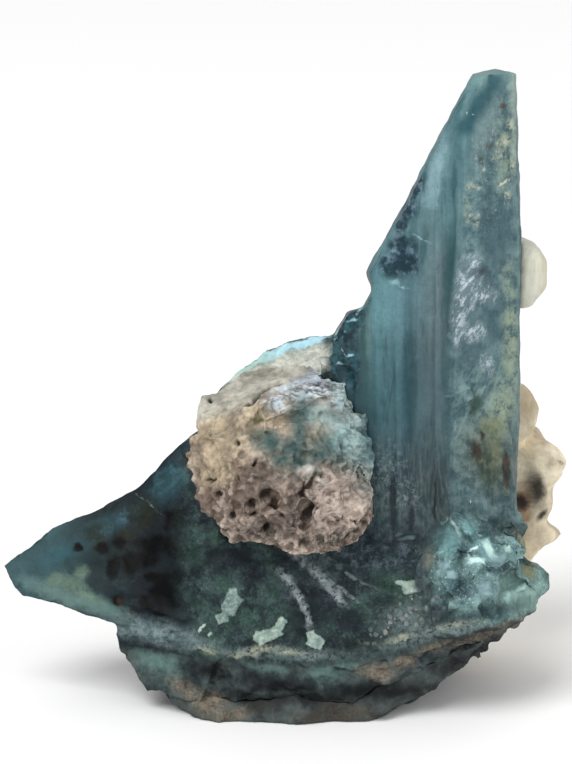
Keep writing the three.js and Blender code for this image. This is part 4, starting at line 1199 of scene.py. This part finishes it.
def paint_lump():
    """The lump: brown below, cream at the left, greenish at the right, with quartz along its top, painted
    shade low down, in its hollows and pits and in the quartz, and painted highlights on its crests.
    """
    surface = Surface("Granular feldspar")
    patch, blend, place = surface.patch, surface.blend, surface.place
    mottle, speck = surface.mottle, surface.speck
    relief, pocks, slab = surface.kept("relief"), surface.kept("pocks"), surface.kept("slab")
    cloud = surface.noise(place, 0.4, 4.0, 0.6).rise(0.36, 0.6)
    grain = surface.chance(surface.wandering(place, 0.7, 0.3), 1.6)

    base = blend(tone(122, 108, 98), tone(168, 154, 142), mottle.rise(0.42, 0.64))
    base = blend(base, tone(84, 73, 67), mottle.rise(0.47, 0.35) * 0.7)
    # painted shade on the lump's lower left
    base = surface.lay(base, (tone(90, 76, 66), LUMP_SHADE, 0.9, 0.8))
    base = blend(base, tone(180, 168, 156), grain.rise(0.68, 0.8) * 0.45)
    base = blend(base, tone(84, 73, 67), grain.rise(0.26, 0.16) * 0.55)
    base = surface.lay(
        base,
        (blend(tone(138, 126, 106), tone(182, 166, 140), cloud), CREAMY, 0.7, 0.85),
        # partly the cream colour, partly painted highlight on the crests
        (tone(200, 186, 156), CREAM_CREST_LIGHT, 0.8, 0.6),
        (tone(112, 110, 98), GREYISH, 1.0, 0.8, (mottle, 0.6, 0.4)),
    )
    base = blend(base, blend(tone(150, 148, 138), tone(188, 187, 174), cloud), slab * 0.85)
    base = surface.lay(base, (tone(172, 154, 130), TAN_SPOTS, 0.8, 0.7))
    leaning = surface.turned(place, "Y_AXIS", -math.radians(18))
    silk = surface.noise(surface.stretched(leaning, (0.3, 0.6, 1.0)), 1.8, 5.0, 0.72)
    base = surface.lay(
        base,
        # painted lilac shade in the quartz
        (tone(112, 118, 136), QUARTZ_SHADE, 0.6, 0.75),
        (tone(204, 220, 230), QUARTZ, 1.0, 0.92, (silk, 0.38, 0.52)),
        # painted shade between the quartz's fibres
        (tone(66, 78, 98), (2.0, 27.8, 2.4, 0.5, 14), 0.6, 0.8, (silk, 0.5, 0.38)),
        (tone(108, 136, 130), GREEN_PATCHES, 1.8, 0.6),
        (tone(46, 76, 76), GREEN_PATCHES, 1.0, 0.9, (mottle, 0.26, 0.46)),
        (tone(148, 178, 178), LIT_GREEN, 0.9, 0.75),
    )
    edge = blend(tone(66, 100, 106), tone(164, 192, 190), silk.rise(0.38, 0.6))
    base = surface.lay(base, (edge, CLEAR_EDGE, 1.2, 0.85))
    outer = surface.ragged_u.rise(5.8, 7.8) * surface.ragged_v.rise(19.0, 22.0)
    base = blend(base, tone(58, 88, 94), outer * 0.85)
    base = blend(base, tone(92, 88, 60), patch((-2.6, 25.0, 0.4, 0.75, -16), 0.3, "crisp") * 0.85)
    base = surface.lay(
        base,
        (tone(172, 158, 148), KNOB, 0.3, 0.65, (mottle, 0.36, 0.52)),
        # partly the knob's pale colour, partly painted highlight on its crest
        (tone(204, 196, 188), KNOB_CREST_LIGHT, 0.5, 0.6),
        # painted shade on the lump's lower part
        (tone(76, 66, 62), LUMP_LOW_SHADE, 0.7, 0.55),
        (tone(46, 52, 44), MOSS, 0.6, 0.9, (mottle, 0.58, 0.44)),
        (tone(82, 62, 48), BROWN_SPOTS, 0.5, 0.5),
        # painted shade round the pits
        (tone(70, 56, 48), PITS, 0.9, 0.5),
    )
    # painted shade inside the pits, crevices and fissure
    hole_shade = patch(PITS, 0.35).most(patch(CREVICE + CRACK + FISSURE, 0.4, "crisp") * 0.9)
    base = blend(base, tone(32, 24, 22), hole_shade * 0.88)
    # painted shade in the pock marks
    base = blend(base, tone(60, 48, 44), pocks * 0.75)
    # painted shade and light: darker between the grains of the relief, lighter on their tops
    base = surface.scaled(base, relief * 0.4 + (speck - 0.5) * (0.4 - slab * 0.2) + 0.9)
    roughness = 0.74 + (speck - 0.5) * 0.3
    bump = (speck * 0.6 + mottle * 0.4) * (1 - slab * 0.6)
    return surface.finish(base, roughness, bump, 0.13, IOR=1.5, Specular_IOR_Level=0.2)


# ------------------------------------------------------------------ base

REAR_SWELL = (24.0, 18.4, 3.6, 3.2, 0)  # where the feldspar behind the blade stands out
REAR_SHADE = [(22.4, 13.4, 2.6, 2.0, 0), (22.8, 26.4, 2.0, 1.4, 0)]
REAR_TAN = [(22.4, 26.0, 1.4, 2.0, 0), (23.4, 23.4, 1.2, 1.0, 0)]
RUST_HALO = [(21.2, 16.6, 0.6, 1.9, 8), (21.4, 15.2, 0.7, 1.0, 0)]
BLACK_STAIN = [(21.9, 17.9, 0.65, 1.8, 10), (20.9, 16.7, 0.6, 0.8, 0), (22.9, 15.6, 0.4, 0.5, 0)]
GREY_SPOTS = [(24.4, 19.0, 0.35, 0.4, 0), (24.2, 20.4, 0.3, 0.3, 0)]


def base_height(tree):
    """The base's crumbs and grains, worn smooth and swollen a little behind the blade."""
    place = tree.place
    z = tree.parts(place)[2]
    loose = tree.wandering(place, 0.35, 0.8)
    crumbs = tree.pebbled(loose, 0.42)
    grains = tree.facets(loose, 0.8)
    fine = tree.noise(place, 1.6, 4.0, 0.6) - 0.5
    broad = tree.noise(place, 0.3, 3.0, 0.55) - 0.5
    rear = z.rise(9.0, 13.0)
    rough = crumbs * (1.0 - rear * 0.7) + grains * (0.7 - rear * 0.6) + fine * 0.8
    rough = rough + broad * (2.0 - rear)
    tree.soften(rear * 0.9, ROUND_PASSES)
    swell = tree.spots(tree.planes["plain"], REAR_SWELL, 0.5) * rear
    shift = tree.along((1.0, 0.0, 0.0), swell * 1.5 + rear * 0.3)
    kept = {"relief": crumbs * 0.7 + grains * 0.6 + fine}
    return rough * tree.inputs["Grain depth"], shift, kept


def paint_base():
    """The feldspar: cream with a black stain behind the blade, coated with dark crystal at its foot, which is
    also painted shade there.
    """
    surface = Surface("Cream feldspar")
    blend, mottle, speck = surface.blend, surface.mottle, surface.speck
    relief = surface.kept("relief")
    cloud = surface.noise(surface.place, 0.22, 3.0, 0.5)
    base = blend(tone(240, 228, 202), tone(210, 192, 160), mottle.rise(0.44, 0.68) * 0.6)
    base = surface.lay(base, (tone(190, 172, 140), REAR_SHADE, 0.9, 0.5))
    base = blend(base, tone(160, 150, 128), cloud.rise(0.54, 0.66) * 0.5)
    base = surface.lay(
        base,
        (tone(176, 158, 132), REAR_TAN, 0.6, 0.6),
        (tone(222, 204, 166), (21.9, 22.0, 0.6, 0.9, 0), 0.6, 0.7),
        (tone(122, 84, 54), RUST_HALO, 0.6, 0.8),
        (tone(34, 28, 28), BLACK_STAIN, 0.7, 0.95),
        (tone(92, 84, 72), GREY_SPOTS, 0.5, 0.6),
    )
    # the dark crystal coating at the foot, partly painted shade
    foot = surface.z.rise(11.0, 6.0) * surface.y.rise(6.0, 1.0)
    coated = blend(tone(34, 36, 37), tone(92, 88, 80), mottle.rise(0.42, 0.66))
    base = blend(base, coated, foot * 0.9)
    base = paint_undercut(surface, base)
    # painted shade and light: darker between the crumbs and grains, lighter on their tops
    base = surface.scaled(base, relief * 0.3 + (speck - 0.5) * 0.4 + 0.98)
    roughness = 0.7 + (mottle - 0.5) * 0.3
    return surface.finish(base, roughness, speck * 0.6 + mottle * 0.5, 0.09, IOR=1.5, Specular_IOR_Level=0.2)


# ------------------------------------------------------------------ side crystal


def side_height(tree):
    """The side crystal's faint fibres, on rounded edges."""
    fibres = tree.noise(tree.stretched(tree.place, (1.0, 1.0, 0.12)), 2.2, 2.0, 0.5) - 0.5
    lumps = tree.noise(tree.place, 0.9, 2.0, 0.5) - 0.5
    tree.soften(1.0, ROUND_PASSES)
    still = tree.add("ShaderNodeCombineXYZ")
    return (fibres * 0.3 + lumps + 0.7) * tree.inputs["Grain depth"], still, {"relief": fibres + lumps}


def paint_side_crystal():
    """The side crystal: cream, a little browner and greener at its two sides, the browner right side partly
    painted shade.
    """
    surface = Surface("Pale crystal")
    speck, relief = surface.speck, surface.kept("relief")
    fibre = surface.noise(surface.stretched(surface.place, (1.0, 1.0, 0.12)), 3.0, 2.0, 0.6)
    base = surface.blend(tone(212, 212, 196), tone(188, 188, 168), fibre.rise(0.4, 0.65) * 0.6)
    # partly the crystal's browner colour, partly painted shade on the side turned from the light
    base = surface.blend(base, tone(190, 180, 158), surface.x.rise(22.6, 23.6) * 0.6)
    base = surface.blend(base, tone(168, 180, 166), surface.x.rise(22.0, 20.6) * 0.6)
    # painted shade and light: darker in the relief's lows, lighter on its rises
    base = surface.scaled(base, relief * 0.2 + (speck - 0.5) * 0.2 + 0.98)
    roughness = 0.42 + (speck - 0.5) * 0.2
    return surface.finish(base, roughness, fibre * 0.6 + speck * 0.4, 0.05, IOR=1.5, Specular_IOR_Level=0.4)


# ------------------------------------------------------------------ operators

class ClusterOperator:
    """What every piece's operator shares."""

    bl_options = {"REGISTER", "UNDO"}

    @property
    def sizes(self):
        """The sizes that a user may change."""
        return bpy.context.scene.cluster_sizes

    def grow_on_crystals(self, piece, name, height, paint, grain=1.0):
        """Gives a piece its relief, pressed against the crystals. grain is its share of the grains' depth."""
        sizes = {
            "Grain depth": grain * self.sizes.grain / MM, "Seat": self.sizes.seat, "Wear": self.sizes.wear,
        }
        grow_relief(piece, name, sizes, height, paint, [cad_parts["grandidierite_crystals"]])


def on_bulge(tree):
    """Where small crystals stand: the front of the bulge."""
    front = tree.parts(tree.normal)[1].rise(0.1, -0.3)
    return tree.spots(tree.front_plane(tree.place), (17.6, 12.0, 3.8, 3.0, 0), 0.2) * front


def off_the_slab(tree):
    """Where grains stand on the lump: well below its smooth slab."""
    u, _, v = tree.parts(tree.front_plane(tree.place))
    return (v - u * SLAB_CLIMB).rise(SLAB_FOOT - 1.6, SLAB_FOOT - 3.6)


def under_the_foot(tree):
    """Where grains stand on the base: low down, but not where it rests."""
    z = tree.parts(tree.place)[2]
    return z.rise(2.0, 3.0) * z.rise(10.0, 8.0)


class CLUSTER_OT_crystals(ClusterOperator, bpy.types.Operator):
    """Grow the grandidierite: the striated blade, the wing, the foot and its broken bulge"""

    bl_idname = "cluster.crystals"
    bl_label = "Grandidierite crystals"

    def execute(self, context):
        piece = copy_of_solid("grandidierite_crystals", "blue_green_crystals")
        paint = paint_crystals(context.scene.cluster_colours)
        stand_grains(piece, "Broken crystals", "crystal", 0.3, (0.6, 1.1), on_bulge, 3, paint[0])
        swell(piece, CLOSED_GAP)
        remesh(piece, self.sizes.crystal_cell)
        wear_ledges(piece, paint[0])
        depths = {
            "Striation depth": self.sizes.striation / MM,
            "Fracture depth": self.sizes.fracture / MM,
            "Swell": CLOSED_GAP,
            "Wear": self.sizes.wear,
        }
        grow_relief(piece, "Crystal relief", depths, crystal_height, paint)
        finish_piece(piece, "grandidierite", "grandidierite_crystals")
        return {"FINISHED"}


class CLUSTER_OT_lump(ClusterOperator, bpy.types.Operator):
    """Grow the granular feldspar lump on the front"""

    bl_idname = "cluster.lump"
    bl_label = "Front lump"

    def execute(self, context):
        piece = copy_of_solid("front_feldspar_lump", "granular_lump")
        paint = paint_lump()
        stand_grains(piece, "Feldspar grains", "grain", 0.15, (0.3, 0.6), off_the_slab, 5, paint[0])
        remesh(piece, self.sizes.lump_cell)
        self.grow_on_crystals(piece, "Lump relief", lump_height, paint)
        finish_piece(piece, "granular_feldspar", "front_feldspar_lump")
        return {"FINISHED"}


class CLUSTER_OT_base(ClusterOperator, bpy.types.Operator):
    """Grow the cream feldspar under and behind the crystals"""

    bl_idname = "cluster.base"
    bl_label = "Feldspar base"

    def execute(self, context):
        piece = copy_of_solid("feldspar_base", "cream_base")
        paint = paint_base()
        stand_grains(piece, "Base grains", "grain", 0.14, (0.4, 0.9), under_the_foot, 7, paint[0])
        remesh(piece, self.sizes.base_cell)
        self.grow_on_crystals(piece, "Base relief", base_height, paint)
        finish_piece(piece, "cream_feldspar", "feldspar_base")
        return {"FINISHED"}


class CLUSTER_OT_side_crystal(ClusterOperator, bpy.types.Operator):
    """Grow the small pale crystal on the blade's right flank"""

    bl_idname = "cluster.side_crystal"
    bl_label = "Side crystal"

    def execute(self, context):
        piece = copy_of_solid("side_crystal", "pale_side_crystal")
        remesh(piece, self.sizes.side_cell)
        paint = paint_side_crystal()
        self.grow_on_crystals(piece, "Side crystal relief", side_height, paint, grain=0.35)
        finish_piece(piece, "pale_crystal", "side_crystal")
        return {"FINISHED"}


# The camera: what it looks at, how far off it is, and how tall its view is there.
AIM = Vector((-0.08, -0.88, 29.34)) * MM
CAMERA_DISTANCE = 420 * MM
VIEW_HEIGHT = 70.06 * MM
SENSOR = 36.0
SEES_TO = 20.0  # metres

FLOOR_REACH = 3.0  # metres from the middle to each side
PAPER, PAPER_ROUGHNESS = (0.93, 0.93, 0.93, 1), 0.9
SKY_STRENGTH = 0.5

# Soft lights: place round the object in degrees (0 is the front, 90 the right), height in
# degrees, distance, size and power.
LIGHTS = {
    "key": (-28, 50, 1.5, 0.75, 17.5),
    "fill": (56, 28, 1.5, 1.2, 6.4),
    "back": (165, 50, 1.5, 1.2, 2.8),
}


def place_light(name, around, above, distance, size, power):
    """Hangs a soft light that faces the object."""
    data = bpy.data.lights.new(name, "AREA")
    data.size = size
    data.energy = power
    light = bpy.data.objects.new(name, data)
    turn, lift = math.radians(around), math.radians(above)
    away = Vector((math.sin(turn) * math.cos(lift), -math.cos(turn) * math.cos(lift), math.sin(lift)))
    light.location = AIM + away * distance
    light.rotation_euler = away.to_track_quat("Z", "Y").to_euler()
    bpy.context.scene.collection.objects.link(light)


class CLUSTER_OT_stage(ClusterOperator, bpy.types.Operator):
    """Lay the floor and set the lights, the sky and the camera"""

    bl_idname = "cluster.stage"
    bl_label = "Stage"

    def execute(self, context):
        half = FLOOR_REACH
        mesh = bpy.data.meshes.new("floor")
        corners = [(-half, -half, 0), (half, -half, 0), (half, half, 0), (-half, half, 0)]
        mesh.from_pydata(corners, [], [(0, 1, 2, 3)])
        floor = bpy.data.objects.new("floor", mesh)
        context.scene.collection.objects.link(floor)
        paper = bpy.data.materials.new("Pale paper")
        paper.use_nodes = True
        shader = paper.node_tree.nodes["Principled BSDF"]
        shader.inputs["Base Color"].default_value = PAPER
        shader.inputs["Roughness"].default_value = PAPER_ROUGHNESS
        mesh.materials.append(paper)

        for name, setting in LIGHTS.items():
            place_light(name, *setting)
        world = bpy.data.worlds.new("Soft sky")
        world.use_nodes = True
        sky = world.node_tree.nodes["Background"]
        sky.inputs["Color"].default_value = (1, 1, 1, 1)
        sky.inputs["Strength"].default_value = SKY_STRENGTH
        context.scene.world = world
        context.scene.view_settings.view_transform = "Standard"

        data = bpy.data.cameras.new("camera")
        data.sensor_width = SENSOR
        data.lens = SENSOR * CAMERA_DISTANCE / VIEW_HEIGHT
        data.clip_end = SEES_TO
        camera = bpy.data.objects.new("camera", data)
        away = Vector((0, -math.cos(LOOK_DOWN), math.sin(LOOK_DOWN)))
        camera.location = AIM + away * CAMERA_DISTANCE
        camera.rotation_euler = (math.pi / 2 - LOOK_DOWN, 0, 0)
        context.scene.collection.objects.link(camera)
        context.scene.camera = camera
        return {"FINISHED"}


class CLUSTER_PT_panel(bpy.types.Panel):
    """Lists the cluster's pieces, sizes and colours"""

    bl_label = "Grandidierite cluster"
    bl_space_type = "VIEW_3D"
    bl_region_type = "UI"
    bl_category = "Mineral"

    def draw(self, context):
        for operator in OPERATORS:
            self.layout.operator(operator.bl_idname)
        for group in (context.scene.cluster_sizes, context.scene.cluster_colours):
            box = self.layout.box()
            for name in group.__annotations__:
                box.prop(group, name)


OPERATORS = (
    CLUSTER_OT_stage, CLUSTER_OT_crystals, CLUSTER_OT_lump, CLUSTER_OT_base, CLUSTER_OT_side_crystal,
)
CLASSES = (ClusterSizes, ClusterColours, *OPERATORS, CLUSTER_PT_panel)


def register():
    """Makes the pieces' operators, settings and panel known."""
    for each in CLASSES:
        bpy.utils.register_class(each)
    bpy.types.Scene.cluster_sizes = PointerProperty(type=ClusterSizes)
    bpy.types.Scene.cluster_colours = PointerProperty(type=ClusterColours)


def unregister():
    """Takes them away again."""
    del bpy.types.Scene.cluster_colours
    del bpy.types.Scene.cluster_sizes
    for each in reversed(CLASSES):
        bpy.utils.unregister_class(each)


def main():
    """Builds the stage and every piece."""
    register()
    bpy.ops.cluster.stage()
    bpy.ops.cluster.crystals()
    bpy.ops.cluster.lump()
    bpy.ops.cluster.base()
    bpy.ops.cluster.side_crystal()


if __name__ == "__main__":
    main()
